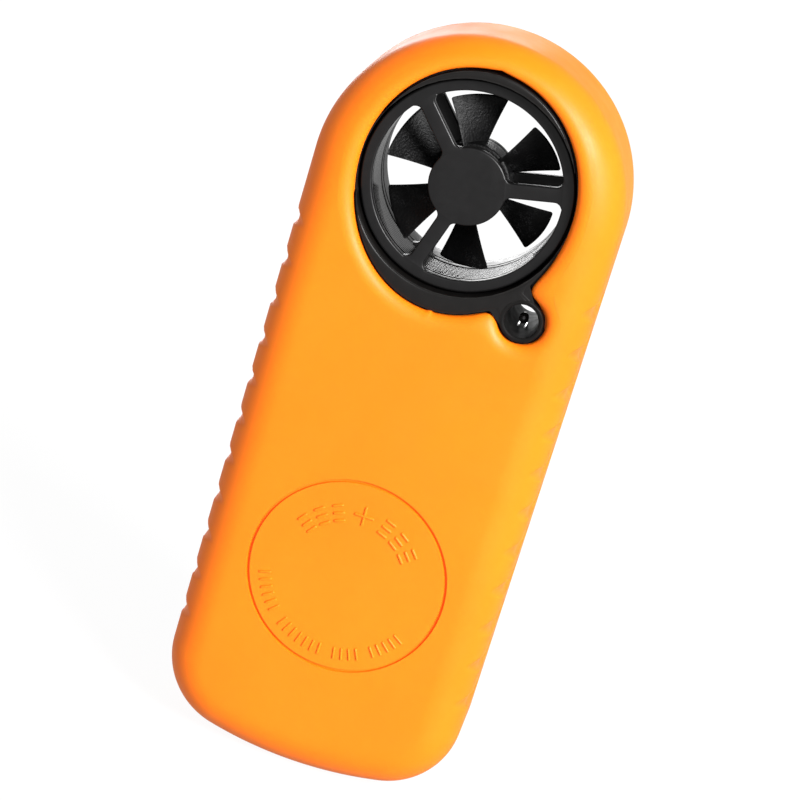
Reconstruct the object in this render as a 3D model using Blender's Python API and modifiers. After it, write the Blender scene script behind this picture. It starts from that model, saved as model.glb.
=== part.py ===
"""A pocket weather meter: an orange silicone sleeve over a two-shell body, with a six-blade impeller.

The meter stands upright. +Z is up (the round head), -Y is the display side and +Y is the orange back.
The origin is at the middle of its base. Angles round the impeller are read from the back:
0 points to -X, and they grow anticlockwise as seen from +Y.
"""

import math

import bmesh
import bpy
from mathutils import Matrix

MM = 0.001
GAP = 0.3 * MM

# The outline seen from the front: a half-round head, straight sides and a softly bulged base.
# The impeller's centre is HEAD_Z, a little above the middle of the head's arc.
HALF_WIDTH = 19.9 * MM
HALF_THICKNESS = 9.0 * MM
HEAD_Z = 81.9 * MM
HEAD_ARC_Z = HEAD_Z - 1.4 * MM
CORNER_RADIUS = 10.3 * MM
BASE_RADIUS = 54.0 * MM

# The sleeve
SLEEVE_SIDE_WALL = 1.9 * MM
SLEEVE_BACK_WALL = 1.8 * MM
SLEEVE_LIP_WALL = 1.6 * MM
SLEEVE_LIP_WIDTH = 3.4 * MM
SLEEVE_BACK_ROUND = 5.5 * MM
SLEEVE_FRONT_ROUND = 3.0 * MM
GRIP_COUNT = 11
GRIP_PITCH = 5.5 * MM
GRIP_TOP_Z = HEAD_Z - 10.9 * MM
GRIP_DEPTH = 0.45 * MM
GRIP_SIZE = (0.9 * MM, 4.6 * MM, 1.35 * MM)
RING_RADIUS = 12.9 * MM
RING_GROOVE_WIDTH = 0.4 * MM
RING_GROOVE_DEPTH = 0.35 * MM

# The opening in the sleeve's back: an egg round the impeller and a lobe round the sensor bore
EGG_HALF_WIDTH = 13.8 * MM
EGG_TOP = 15.1 * MM
EGG_BOTTOM = 16.4 * MM
LOBE_RADIUS = 3.1 * MM
LOBE_BLEND = 2.6 * MM

# The two shells
SHELL_WALL = 1.4 * MM
SHELL_INSET = SLEEVE_SIDE_WALL + GAP
PARTING_GAP = 0.15 * MM
REAR_SHELL_Y = HALF_THICKNESS - SLEEVE_BACK_WALL - GAP
LEDGE_Y = 8.0 * MM
BORDER_Y = -HALF_THICKNESS + SLEEVE_LIP_WALL + GAP
FACE_Y = -8.5 * MM
FACE_INSET = SLEEVE_LIP_WIDTH + GAP
POCKET_Y = -7.0 * MM
POCKET_Z = 33.2 * MM
REAR_INNER_Y = REAR_SHELL_Y - SHELL_WALL
FRONT_INNER_Y = BORDER_Y + SHELL_WALL

# The wind duct and its turbine
DUCT_RADIUS = 12.0 * MM
CASSETTE_RADIUS = 13.45 * MM
SOCKET_RADIUS = 15.0 * MM
MOUTH_RADIUS = 13.0 * MM
MOUTH_START_Y = -3.0 * MM
REAR_GUARD_Y = (5.4 * MM, 6.6 * MM)
FRONT_GUARD_Y = (-1.9 * MM, -0.7 * MM)
GUARD_HUB_RADIUS = 4.95 * MM
GUARD_BOSS_RADIUS = 2.8 * MM
SPOKE_WIDTH = 1.9 * MM
SPOKE_ANGLES = (12.6, 132.6, 252.6)
WINDOW_ROUND = 1.0 * MM
ROTOR_HUB_RADIUS = 5.05 * MM
ROTOR_TIP_RADIUS = 11.0 * MM
ROTOR_HUB_Y = (-0.1 * MM, 3.9 * MM)
BLADE_Y = (0.3 * MM, 4.6 * MM)
BLADE_COUNT = 6
BLADE_FIRST_ANGLE = 41.0
BLADE_HALF_SPAN = (15.0, 18.0)
BLADE_THICKNESS = 0.7 * MM
SHAFT_RADIUS = 0.45 * MM
JEWEL_RADIUS = 1.6 * MM

# The sensor bore, beside the duct
BORE_X = -11.5 * MM
BORE_Z = HEAD_Z - 13.8 * MM
BORE_RADIUS = 2.2 * MM
BORE_TUBE_RADIUS = 3.1 * MM
BORE_MOUTH_RADIUS = 3.2 * MM
BORE_FLARE_Y = -6.0 * MM
BEAD_Y = 4.0 * MM
BEAD_Z = BORE_Z - 0.5 * MM
BEAD_PROFILE = [(0.0, 0.7), (0.45, 0.55), (0.65, 0.1), (0.65, -0.3), (0.45, -0.6), (0.0, -0.75)]
LEAD_SPACING = 0.45 * MM
LEAD_RADIUS = 0.15 * MM

# The display
DISPLAY_Z = 45.0 * MM
WINDOW_SIZE = (26.0 * MM, 22.0 * MM)
VIEW_SIZE = (21.0 * MM, 17.0 * MM)
GLASS_SIZE = (23.6 * MM, 19.6 * MM)

# The keys
KEY_Z = 19.0 * MM
KEY_X = 6.6 * MM
KEY_SIZE = (9.4 * MM, 6.0 * MM)

# The board and the cell
BOARD_Y = (-3.2 * MM, -2.2 * MM)
BOARD_TOP_Z = 64.0 * MM
CELL_Z = 28.8 * MM
CELL_RADIUS = 10.0 * MM
CELL_Y = (0.1 * MM, 3.3 * MM)
HOLDER_RADIUS = 12.0 * MM
DOOR_RADIUS = 12.1 * MM
DOOR_UNLOCK_ANGLE = 30.0
COIN_SLOT = (15.0 * MM, 1.8 * MM)
SCREW_PLACES = ((-11.6, 11.6), (11.6, 11.6), (-11.8, 60.2), (11.8, 60.2))
SCREW_TURN = 27.0
REAR_POST_RADIUS = 2.9 * MM
FRONT_POST_RADIUS = 2.4 * MM
BOARD_HOLE_RADIUS = 2.7 * MM
SHANK_HOLE_RADIUS = 1.2 * MM
SCREW_SEAT_RADIUS = 2.3 * MM
SCREW_SEAT_Y = 3.0 * MM

FULL_TURN = 360.0
DUCT_STEPS = 48
OPENING_STEPS = 64


# Scene, collections and materials


def clear_scene():
    """Remove every object that the file starts with."""
    for obj in list(bpy.data.objects):
        bpy.data.objects.remove(obj)


def new_collection(name):
    """Add an empty collection to the scene."""
    collection = bpy.data.collections.new(name)
    bpy.context.scene.collection.children.link(collection)
    return collection


clear_scene()
PARTS = new_collection("weather_meter")
CUTTERS = new_collection("cutters")


def new_material(name, colour, roughness, metallic=0.0, transmission=0.0):
    """Make a Principled material of one colour."""
    material = bpy.data.materials.new(name)
    material.use_nodes = True
    shader = material.node_tree.nodes["Principled BSDF"]
    shader.inputs["Base Color"].default_value = (*colour, 1.0)
    shader.inputs["Roughness"].default_value = roughness
    shader.inputs["Metallic"].default_value = metallic
    shader.inputs["Transmission Weight"].default_value = transmission
    material.diffuse_color = (*colour, 1.0)
    return material


ORANGE_SILICONE = new_material("orange_silicone", (0.95, 0.36, 0.03), 0.45)
BLACK_SHELL = new_material("black_shell", (0.03, 0.03, 0.03), 0.45)
BLACK_GLOSS = new_material("black_gloss", (0.02, 0.02, 0.02), 0.15)
CLEAR_WINDOW = new_material("clear_window", (0.9, 0.95, 0.95), 0.05, transmission=0.9)
LCD_GLASS = new_material("lcd_glass", (0.45, 0.5, 0.42), 0.1)
WHITE_PLASTIC = new_material("white_plastic", (0.9, 0.9, 0.88), 0.5)
GREY_RUBBER = new_material("grey_rubber", (0.25, 0.25, 0.27), 0.7)
GREEN_BOARD = new_material("green_board", (0.03, 0.2, 0.07), 0.4)
STEEL = new_material("steel", (0.7, 0.7, 0.7), 0.3, metallic=1.0)
JEWEL = new_material("jewel", (0.6, 0.05, 0.1), 0.1)
MAGNET = new_material("magnet", (0.2, 0.2, 0.2), 0.4, metallic=1.0)


# Outlines: lists of (x, z) points


def arc(centre, radius, start, end, steps):
    """Points on a circle from one angle to another, in degrees, both ends included."""
    angles = [math.radians(start + (end - start) * i / steps) for i in range(steps + 1)]
    return [(centre[0] + radius * math.cos(a), centre[1] + radius * math.sin(a)) for a in angles]


def circle(radius, steps, centre=(0.0, 0.0)):
    """A closed circle."""
    return arc(centre, radius, 0.0, FULL_TURN, steps)[:-1]


def body_outline(inset):
    """The meter's outline moved inwards by inset: head, corner, base arc, corner.

    The base arc and the corner arcs touch, so the corner's centre height follows from both radii.
    """
    corner_x = HALF_WIDTH - CORNER_RADIUS
    reach = BASE_RADIUS - CORNER_RADIUS
    corner_z = BASE_RADIUS - math.sqrt(reach**2 - corner_x**2)
    touch = math.degrees(math.atan2(corner_x, BASE_RADIUS - corner_z))
    radius = CORNER_RADIUS - inset
    points = arc((0.0, HEAD_ARC_Z), HALF_WIDTH - inset, 0.0, 180.0, 24)
    points += arc((-corner_x, corner_z), radius, 180.0, 270.0 - touch, 5)
    points += arc((0.0, BASE_RADIUS), BASE_RADIUS - inset, 270.0 - touch, 270.0 + touch, 6)[1:-1]
    points += arc((corner_x, corner_z), radius, 270.0 + touch, FULL_TURN, 5)
    return points


def rounded_rectangle(width, height, radius, steps=4):
    """A rectangle about the origin with round corners."""
    points = []
    for start, sign_x, sign_z in ((0, 1, 1), (90, -1, 1), (180, -1, -1), (270, 1, -1)):
        centre = (sign_x * (width / 2 - radius), sign_z * (height / 2 - radius))
        points += arc(centre, radius, start, start + 90, steps)
    return points


def opening_distance(x, z, level):
    """How far a point lies outside the egg-and-lobe opening, with a smooth blend between the two."""
    half_height = EGG_TOP if z > 0 else EGG_BOTTOM
    reach = math.hypot(x, z)
    egg = reach - reach / max(math.hypot(x / EGG_HALF_WIDTH, z / half_height), 1e-9)
    lobe = math.hypot(x - BORE_X, z - (BORE_Z - HEAD_Z)) - LOBE_RADIUS
    share = min(max(0.5 + 0.5 * (lobe - egg) / LOBE_BLEND, 0.0), 1.0)
    return lobe + (egg - lobe) * share - LOBE_BLEND * share * (1.0 - share) - level


def opening_outline(level):
    """The opening's outline about the impeller's centre, moved outwards by level."""
    points = []
    for step in range(OPENING_STEPS):
        angle = math.radians(FULL_TURN * step / OPENING_STEPS)
        near, far = 11.0 * MM, 25.0 * MM
        for _ in range(30):
            middle = (near + far) / 2
            outside = opening_distance(middle * math.cos(angle), middle * math.sin(angle), level) > 0
            near, far = (near, middle) if outside else (middle, far)
        points.append((near * math.cos(angle), near * math.sin(angle)))
    return points


def soft_corner(corner, before, after, steps=3):
    """A quadratic curve from before to after that rounds off a corner."""
    points = []
    for i in range(steps + 1):
        t = i / steps
        weights = ((1 - t) ** 2, 2 * t * (1 - t), t * t)
        places = (before, corner, after)
        points.append(tuple(sum(w * p[axis] for w, p in zip(weights, places)) for axis in (0, 1)))
    return points


def polar(radius, angle):
    """A point at a radius and an angle read from the back, as (x, z) about the impeller's centre."""
    return (-radius * math.cos(math.radians(angle)), radius * math.sin(math.radians(angle)))


def guard_window(first, second):
    """One window between two spokes: an outer arc, an inner arc and two edges beside the spokes."""

    def edge_angle(radius):
        return math.degrees(math.asin(SPOKE_WIDTH / 2 / radius))

    def edge_point(radius, spoke, side):
        return polar(radius, spoke + side * edge_angle(radius))

    def arc_between(radius, start, end, steps):
        return [polar(radius, start + (end - start) * i / steps) for i in range(steps + 1)]

    points = []
    outer, inner = DUCT_RADIUS, GUARD_HUB_RADIUS
    turn_outer = math.degrees(WINDOW_ROUND / outer)
    turn_inner = math.degrees(WINDOW_ROUND / inner)
    start = first + edge_angle(outer)
    end = second - edge_angle(outer)
    points += soft_corner(
        edge_point(outer, first, 1),
        edge_point(outer - WINDOW_ROUND, first, 1),
        polar(outer, start + turn_outer),
    )
    points += arc_between(outer, start + turn_outer, end - turn_outer, 10)[1:-1]
    points += soft_corner(
        edge_point(outer, second, -1),
        polar(outer, end - turn_outer),
        edge_point(outer - WINDOW_ROUND, second, -1),
    )
    start = second - edge_angle(inner)
    end = first + edge_angle(inner)
    points += soft_corner(
        edge_point(inner, second, -1),
        edge_point(inner + WINDOW_ROUND, second, -1),
        polar(inner, start - turn_inner),
    )
    points += arc_between(inner, start - turn_inner, end + turn_inner, 6)[1:-1]
    points += soft_corner(
        edge_point(inner, first, 1),
        polar(inner, end + turn_inner),
        edge_point(inner + WINDOW_ROUND, first, 1),
    )
    return points


# Solids


def finish(obj, material, collection=None):
    """Give an object its material and put it in its collection."""
    (collection or PARTS).objects.link(obj)
    if material:
        obj.data.materials.append(material)
    return obj


def smooth(obj, angle=35.0):
    """Shade round faces smooth and keep the edges sharp."""
    obj.data.shade_smooth()
    obj.data.set_sharp_from_angle(angle=math.radians(angle))
    return obj


def plate(name, loops, span, material, centre=(0.0, 0.0)):
    """A flat solid between two depths span[0] < span[1], from outlines about centre (x, z)."""
    curve = bpy.data.curves.new(name, "CURVE")
    curve.dimensions = "2D"
    curve.fill_mode = "BOTH"
    curve.extrude = (span[1] - span[0]) / 2
    for points in loops:
        spline = curve.splines.new("POLY")
        spline.points.add(len(points) - 1)
        for point, (x, z) in zip(spline.points, points):
            point.co = (x, z, 0.0, 1.0)
        spline.use_cyclic_u = True
    outline = bpy.data.objects.new(name + "_outline", curve)
    outline.location = (centre[0], (span[0] + span[1]) / 2, centre[1])
    outline.rotation_euler = (math.pi / 2, 0.0, 0.0)
    bpy.context.scene.collection.objects.link(outline)
    bpy.context.view_layer.update()
    graph = bpy.context.evaluated_depsgraph_get()
    mesh = bpy.data.meshes.new_from_object(outline.evaluated_get(graph))
    solid = bpy.data.objects.new(name, mesh)
    solid.matrix_world = outline.matrix_world
    bpy.data.objects.remove(outline)
    weld(solid)
    return smooth(finish(solid, material))


def weld(solid):
    """Join a converted curve's loose caps to its sides."""
    shape = bmesh.new()
    shape.from_mesh(solid.data)
    bmesh.ops.remove_doubles(shape, verts=shape.verts, dist=1e-7)
    bmesh.ops.recalc_face_normals(shape, faces=shape.faces)
    shape.to_mesh(solid.data)
    shape.free()
    solid.data.materials.clear()


def round_rims(solid, back=0.0, front=0.0, segments=4):
    """Round a plate's rims. Local +Z of a plate is the display side, so its lowest rim is the back one."""
    shape = bmesh.new()
    shape.from_mesh(solid.data)
    bmesh.ops.dissolve_limit(shape, angle_limit=0.001, verts=shape.verts, edges=shape.edges)
    weight = shape.edges.layers.float.new("bevel_weight_edge")
    widest = max(back, front)
    lowest = min(vert.co.z for vert in shape.verts)
    highest = max(vert.co.z for vert in shape.verts)
    for edge in shape.edges:
        if edge.calc_face_angle(0.0) < 1.0:
            continue
        heights = [vert.co.z for vert in edge.verts]
        if max(heights) - lowest < 1e-6:
            edge[weight] = back / widest
        if highest - min(heights) < 1e-6:
            edge[weight] = front / widest
    shape.to_mesh(solid.data)
    shape.free()
    bevel = solid.modifiers.new("round_rims", "BEVEL")
    bevel.limit_method = "WEIGHT"
    bevel.width = widest
    bevel.segments = segments
    bevel.use_clamp_overlap = False
    return solid


def discs(name, places, radius, span, material, segments=32):
    """One or more round discs or pins along Y, in one mesh. Places are (x, z)."""
    shape = bmesh.new()
    centre = places[0]
    turn = Matrix.Rotation(math.pi / 2, 4, "X")
    for x, z in places:
        shift = Matrix.Translation((x - centre[0], 0.0, z - centre[1]))
        bmesh.ops.create_cone(
            shape,
            cap_ends=True,
            segments=segments,
            radius1=radius,
            radius2=radius,
            depth=span[1] - span[0],
            matrix=shift @ turn,
        )
    mesh = bpy.data.meshes.new(name)
    shape.to_mesh(mesh)
    shape.free()
    solid = bpy.data.objects.new(name, mesh)
    solid.location = (centre[0], (span[0] + span[1]) / 2, centre[1])
    return smooth(finish(solid, material))


def block(name, size, centre, material, bevel=0.0):
    """A box by its full sizes and its centre, with optional small bevels."""
    shape = bmesh.new()
    bmesh.ops.create_cube(shape, size=1.0)
    bmesh.ops.scale(shape, vec=size, verts=shape.verts)
    mesh = bpy.data.meshes.new(name)
    shape.to_mesh(mesh)
    shape.free()
    solid = bpy.data.objects.new(name, mesh)
    solid.location = centre
    if bevel:
        edges = solid.modifiers.new("edges", "BEVEL")
        edges.width = bevel
        edges.segments = 2
    return finish(solid, material)


def turned(name, profile, centre, material, closed=True, segments=48):
    """A body turned about a line along Y, from (radius, y) points that run anticlockwise from outside.

    Seen with radius to the right and y up, the outer side runs from high y to low y.
    """
    mesh = bpy.data.meshes.new(name)
    count = len(profile)
    edges = [(i, i + 1) for i in range(count - 1)]
    if closed:
        edges.append((count - 1, 0))
    mesh.from_pydata([(radius, 0.0, y) for radius, y in profile], edges, [])
    solid = bpy.data.objects.new(name, mesh)
    solid.location = (centre[0], 0.0, centre[1])
    solid.rotation_euler = (-math.pi / 2, 0.0, 0.0)
    screw = solid.modifiers.new("turn", "SCREW")
    screw.axis = "Z"
    screw.steps = segments
    screw.render_steps = segments
    screw.use_merge_vertices = True
    screw.merge_threshold = 0.00001
    screw.use_smooth_shade = True
    return finish(solid, material)


def helper(obj):
    """Move a cutter or a joined helper out of the parts, and keep it out of renders."""
    PARTS.objects.unlink(obj)
    CUTTERS.objects.link(obj)
    obj.hide_render = True
    obj.display_type = "WIRE"
    return obj


def combine(target, other, operation):
    """Cut another solid from a part, or join it to the part."""
    boolean = target.modifiers.new(other.name, "BOOLEAN")
    boolean.operation = operation
    boolean.object = helper(other)
    return target


def cut(target, *others):
    for other in others:
        combine(target, other, "DIFFERENCE")
    return target


def join(target, *others):
    for other in others:
        combine(target, other, "UNION")
    return target


# Sleeve


def make_sleeve():
    """Soft sleeve: a rounded shell, open on the display side, with the egg-and-lobe opening behind."""
    sleeve = plate("sleeve", [body_outline(0.0)], (-HALF_THICKNESS, HALF_THICKNESS), ORANGE_SILICONE)
    round_rims(sleeve, back=SLEEVE_BACK_ROUND, front=SLEEVE_FRONT_ROUND, segments=4)
    inner = (-HALF_THICKNESS + SLEEVE_LIP_WALL, HALF_THICKNESS - SLEEVE_BACK_WALL)
    cavity = plate("sleeve_cavity", [body_outline(SLEEVE_SIDE_WALL)], inner, None)
    round_rims(
        cavity,
        back=SLEEVE_BACK_ROUND - SLEEVE_SIDE_WALL,
        front=SLEEVE_FRONT_ROUND - SLEEVE_SIDE_WALL,
        segments=3,
    )
    front = plate("sleeve_front_cut", [body_outline(SLEEVE_LIP_WIDTH)], (-11 * MM, -6 * MM), None)
    back = plate("sleeve_back_cut", [opening_outline(0.0)], (6 * MM, 11 * MM), None, (0.0, HEAD_Z))
    return cut(sleeve, cavity, front, back, make_grips(), make_ring_groove())


def make_grips():
    """The oval scoops down both long sides, as one cutter."""
    shape = bmesh.new()
    size_x = GRIP_SIZE[0]
    for side in (-1, 1):
        for row in range(GRIP_COUNT):
            place = (side * (HALF_WIDTH + size_x - GRIP_DEPTH), 0.0, GRIP_TOP_Z - row * GRIP_PITCH)
            matrix = Matrix.Translation(place) @ Matrix.Diagonal((*GRIP_SIZE, 1.0))
            bmesh.ops.create_uvsphere(shape, u_segments=8, v_segments=6, radius=1.0, matrix=matrix)
    mesh = bpy.data.meshes.new("grip_cut")
    shape.to_mesh(mesh)
    shape.free()
    return finish(bpy.data.objects.new("grip_cut", mesh), None)


def make_ring_groove():
    """The thin engraved circle over the coin cell."""
    low, high = HALF_THICKNESS - RING_GROOVE_DEPTH, HALF_THICKNESS + 0.5 * MM
    inner, outer = RING_RADIUS - RING_GROOVE_WIDTH / 2, RING_RADIUS + RING_GROOVE_WIDTH / 2
    profile = [(inner, high), (outer, high), (outer, low), (inner, low)]
    return turned("ring_groove_cut", profile, (0.0, CELL_Z), None, segments=48)


# Shells


def screw_places():
    """The four screws' (x, z) places."""
    return [(x * MM, z * MM) for x, z in SCREW_PLACES]


def make_rear_shell():
    """Back shell: tray, raised ledge round the duct and bore, duct socket, bore tube, screw posts."""
    shell = plate("rear_shell", [body_outline(SHELL_INSET)], (PARTING_GAP, REAR_SHELL_Y), BLACK_SHELL)
    round_rims(shell, back=SLEEVE_BACK_ROUND - SHELL_INSET, segments=3)
    ledge = plate(
        "rear_ledge", [opening_outline(-GAP)], (REAR_INNER_Y + 0.7 * MM, LEDGE_Y), None, (0.0, HEAD_Z)
    )
    inset = SHELL_INSET + SHELL_WALL
    cavity = plate("rear_cavity", [body_outline(inset)], (-1 * MM, REAR_INNER_Y), None)
    round_rims(cavity, back=SLEEVE_BACK_ROUND - inset, segments=2)
    post_span = (PARTING_GAP, REAR_INNER_Y + 0.5 * MM)
    socket = discs("rear_socket", [(0.0, HEAD_Z)], SOCKET_RADIUS, post_span, None, DUCT_STEPS)
    tube = discs("rear_bore_tube", [(BORE_X, BORE_Z)], BORE_TUBE_RADIUS, post_span, None, 20)
    posts = discs("rear_posts", screw_places(), REAR_POST_RADIUS, post_span, None, 12)
    duct = discs(
        "rear_duct_cut", [(0.0, HEAD_Z)], CASSETTE_RADIUS + GAP, (-1 * MM, 10 * MM), None, DUCT_STEPS
    )
    bore = discs("rear_bore_cut", [(BORE_X, BORE_Z)], BORE_RADIUS, (-1 * MM, 10 * MM), None, 20)
    shanks = discs("rear_shank_cut", screw_places(), SHANK_HOLE_RADIUS, (-1 * MM, 4 * MM), None, 12)
    heads = discs("rear_head_cut", screw_places(), SCREW_SEAT_RADIUS, (SCREW_SEAT_Y, 8 * MM), None, 12)
    lead_slot = block(
        "lead_slot_cut", (2.0 * MM, 3.6 * MM, 3.0 * MM), (BORE_X, 0.0, BORE_Z - 3.0 * MM), None
    )
    join(cut(join(shell, ledge), cavity), socket, tube, posts)
    return cut(shell, duct, bore, shanks, heads, lead_slot, *door_hole_cutters())


def door_hole_cutters():
    """The battery door's hole and the two notches that its lugs drop through."""
    hole = discs("door_hole_cut", [(0.0, CELL_Z)], DOOR_RADIUS + GAP, (4 * MM, 9 * MM), None, 48)
    mesh = lug_mesh("door_notch_cut", DOOR_RADIUS - MM, 13.9 * MM, 15.0, 5 * MM)
    notches = finish(bpy.data.objects.new("door_notch_cut", mesh), None)
    notches.location = (0.0, 6.5 * MM, CELL_Z)
    notches.rotation_euler = (0.0, math.radians(DOOR_UNLOCK_ANGLE), 0.0)
    return hole, notches


def lug_mesh(name, inner, outer, half_angle, depth):
    """Two arc-shaped lugs on opposite sides of a circle about Y, centred on depth zero."""
    shape = bmesh.new()
    for turn in (0.0, 180.0):
        loop = arc((0.0, 0.0), outer, turn - half_angle, turn + half_angle, 4)
        loop += arc((0.0, 0.0), inner, turn + half_angle, turn - half_angle, 4)
        verts = [shape.verts.new((x, -depth / 2, z)) for x, z in loop]
        face = shape.faces.new(verts)
        made = bmesh.ops.extrude_face_region(shape, geom=[face])["geom"]
        moved = [item for item in made if isinstance(item, bmesh.types.BMVert)]
        bmesh.ops.translate(shape, vec=(0.0, depth, 0.0), verts=moved)
    bmesh.ops.recalc_face_normals(shape, faces=shape.faces)
    mesh = bpy.data.meshes.new(name)
    shape.to_mesh(mesh)
    shape.free()
    return mesh


def make_front_shell():
    """Display-side shell: tray, raised face, bell mouth of the duct, bore tube, window and key holes."""
    shell = plate("front_shell", [body_outline(SHELL_INSET)], (BORDER_Y, -PARTING_GAP), BLACK_SHELL)
    round_rims(shell, front=1.2 * MM, segments=3)
    face = plate("front_face", [body_outline(FACE_INSET)], (FACE_Y, BORDER_Y + 0.7 * MM), None)
    round_rims(face, front=0.6 * MM, segments=2)
    inset = SHELL_INSET + SHELL_WALL
    cavity = plate("front_cavity", [body_outline(inset)], (FRONT_INNER_Y, 1 * MM), None)
    pocket = plate(
        "front_pocket",
        [rounded_rectangle(27.2 * MM, 49.0 * MM, 3 * MM)],
        (POCKET_Y, FRONT_INNER_Y + 0.5 * MM),
        None,
        (0.0, POCKET_Z),
    )
    post_span = (POCKET_Y - 0.4 * MM, -PARTING_GAP)
    tube_span = (FRONT_INNER_Y - 0.5 * MM, -PARTING_GAP)
    socket = discs("front_socket", [(0.0, HEAD_Z)], SOCKET_RADIUS, tube_span, None, DUCT_STEPS)
    tube = discs("front_bore_tube", [(BORE_X, BORE_Z)], BORE_TUBE_RADIUS, tube_span, None, 20)
    posts = discs("front_posts", screw_places(), FRONT_POST_RADIUS, post_span, None, 12)
    join(cut(join(shell, face), cavity, pocket), socket, tube, posts)
    pilots = discs("pilot_cut", screw_places(), SHANK_HOLE_RADIUS, (-5.2 * MM, 1 * MM), None, 12)
    return cut(shell, make_mouth_cutter(), make_bore_cutter(), pilots, *face_cutters())


def make_mouth_cutter():
    """The duct's socket and its bell mouth, which opens on a quarter-round towards the display side."""
    seat = CASSETTE_RADIUS + GAP
    floor = FRONT_GUARD_Y[0] - GAP
    flare = MOUTH_RADIUS - DUCT_RADIUS
    profile = [(0.0, 1 * MM), (seat, 1 * MM), (seat, floor), (DUCT_RADIUS, floor)]
    for step in range(5):
        turn = math.pi / 2 * step / 4
        depth = MOUTH_START_Y + (FACE_Y - MOUTH_START_Y) * math.sin(turn)
        profile.append((DUCT_RADIUS + flare * (1 - math.cos(turn)), depth))
    profile += [(MOUTH_RADIUS, FACE_Y - 1 * MM), (0.0, FACE_Y - 1 * MM)]
    return turned("mouth_cut", profile, (0.0, HEAD_Z), None, closed=False, segments=DUCT_STEPS)


def make_bore_cutter():
    """The sensor bore through the display side, with a flared mouth."""
    profile = [(0.0, 1 * MM), (BORE_RADIUS, 1 * MM), (BORE_RADIUS, BORE_FLARE_Y)]
    profile += [(BORE_MOUTH_RADIUS, FACE_Y), (BORE_MOUTH_RADIUS, FACE_Y - 1 * MM)]
    profile += [(0.0, FACE_Y - 1 * MM)]
    return turned("front_bore_cut", profile, (BORE_X, BORE_Z), None, closed=False, segments=20)


def key_outline(grow=0.0):
    """A key's stadium outline, grown on every side."""
    width, height = KEY_SIZE[0] + 2 * grow, KEY_SIZE[1] + 2 * grow
    return rounded_rectangle(width, height, height / 2 - 0.01 * MM, 5)


def face_cutters():
    """The window's seat, the view hole and the two key holes."""
    seat = rounded_rectangle(WINDOW_SIZE[0] + 2 * GAP, WINDOW_SIZE[1] + 2 * GAP, 2.3 * MM)
    view = rounded_rectangle(*VIEW_SIZE, 1.0 * MM)
    keys = [
        plate(f"key_cut_{side}", [key_outline(GAP)], (-10 * MM, -6 * MM), None, (side * KEY_X, KEY_Z))
        for side in (-1, 1)
    ]
    return (
        plate("seat_cut", [seat], (-10 * MM, -7.7 * MM), None, (0.0, DISPLAY_Z)),
        plate("view_cut", [view], (-10 * MM, -6 * MM), None, (0.0, DISPLAY_Z)),
        *keys,
    )


# Turbine


def make_guard(name, span, boss_span, pocket_span):
    """A three-spoke guard with a flat hub disc, and a boss whose pocket holds a jewel bearing."""
    windows = [
        guard_window(SPOKE_ANGLES[i], SPOKE_ANGLES[(i + 1) % 3] + (FULL_TURN if i == 2 else 0.0))
        for i in range(3)
    ]
    loops = [circle(CASSETTE_RADIUS, DUCT_STEPS), *windows]
    guard = plate(name, loops, span, BLACK_SHELL, (0.0, HEAD_Z))
    centre = [(0.0, HEAD_Z)]
    boss = discs(name + "_boss", centre, GUARD_BOSS_RADIUS, boss_span, None, 24)
    pocket = discs(name + "_pocket", centre, JEWEL_RADIUS + GAP, pocket_span, None, 24)
    return cut(join(guard, boss), pocket)


def make_duct_ring():
    """The glossy ring that spaces the guards and shrouds the blades."""
    low, high = FRONT_GUARD_Y[1] + GAP, REAR_GUARD_Y[0] - GAP
    outer = CASSETTE_RADIUS
    profile = [(DUCT_RADIUS, high), (outer, high), (outer, low), (DUCT_RADIUS, low)]
    return turned("duct_ring", profile, (0.0, HEAD_Z), BLACK_GLOSS, segments=DUCT_STEPS)


def blade_mesh():
    """Six pitched blades about Y, lofted from root to tip.

    At each radius the blade runs along an arc; its depth falls in step with the angle, so it is a
    piece of a helix. The rear edge is the anticlockwise one as seen from the back.
    """
    shape = bmesh.new()
    radii = [ROTOR_HUB_RADIUS - 0.4 * MM, 7.8 * MM, ROTOR_TIP_RADIUS]
    chord_steps = 5
    half_thickness = BLADE_THICKNESS / 2
    middle = (BLADE_Y[0] + BLADE_Y[1]) / 2
    rise = (BLADE_Y[1] - BLADE_Y[0]) / 2 - half_thickness
    for number in range(BLADE_COUNT):
        centre = BLADE_FIRST_ANGLE + number * FULL_TURN / BLADE_COUNT
        rings = []
        for radius in radii:
            share = (radius - radii[0]) / (radii[-1] - radii[0])
            half_span = BLADE_HALF_SPAN[0] + (BLADE_HALF_SPAN[1] - BLADE_HALF_SPAN[0]) * share
            ring = []
            for side in (1, -1):
                for step in range(chord_steps + 1):
                    t = side * (2 * step / chord_steps - 1)
                    x, z = polar(radius, centre + half_span * t)
                    thin = half_thickness * math.sqrt(max(1 - t * t, 0.16))
                    ring.append(shape.verts.new((x, middle + rise * t + side * thin, z)))
            rings.append(ring)
        loft(shape, rings)
    bmesh.ops.recalc_face_normals(shape, faces=shape.faces)
    mesh = bpy.data.meshes.new("blades")
    shape.to_mesh(mesh)
    shape.free()
    return mesh


def loft(shape, rings):
    """Skin a row of equal closed sections and cap both ends."""
    count = len(rings[0])
    for lower, upper in zip(rings, rings[1:]):
        for i in range(count):
            j = (i + 1) % count
            shape.faces.new((lower[i], lower[j], upper[j], upper[i]))
    shape.faces.new(rings[0])
    shape.faces.new(reversed(rings[-1]))


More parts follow.
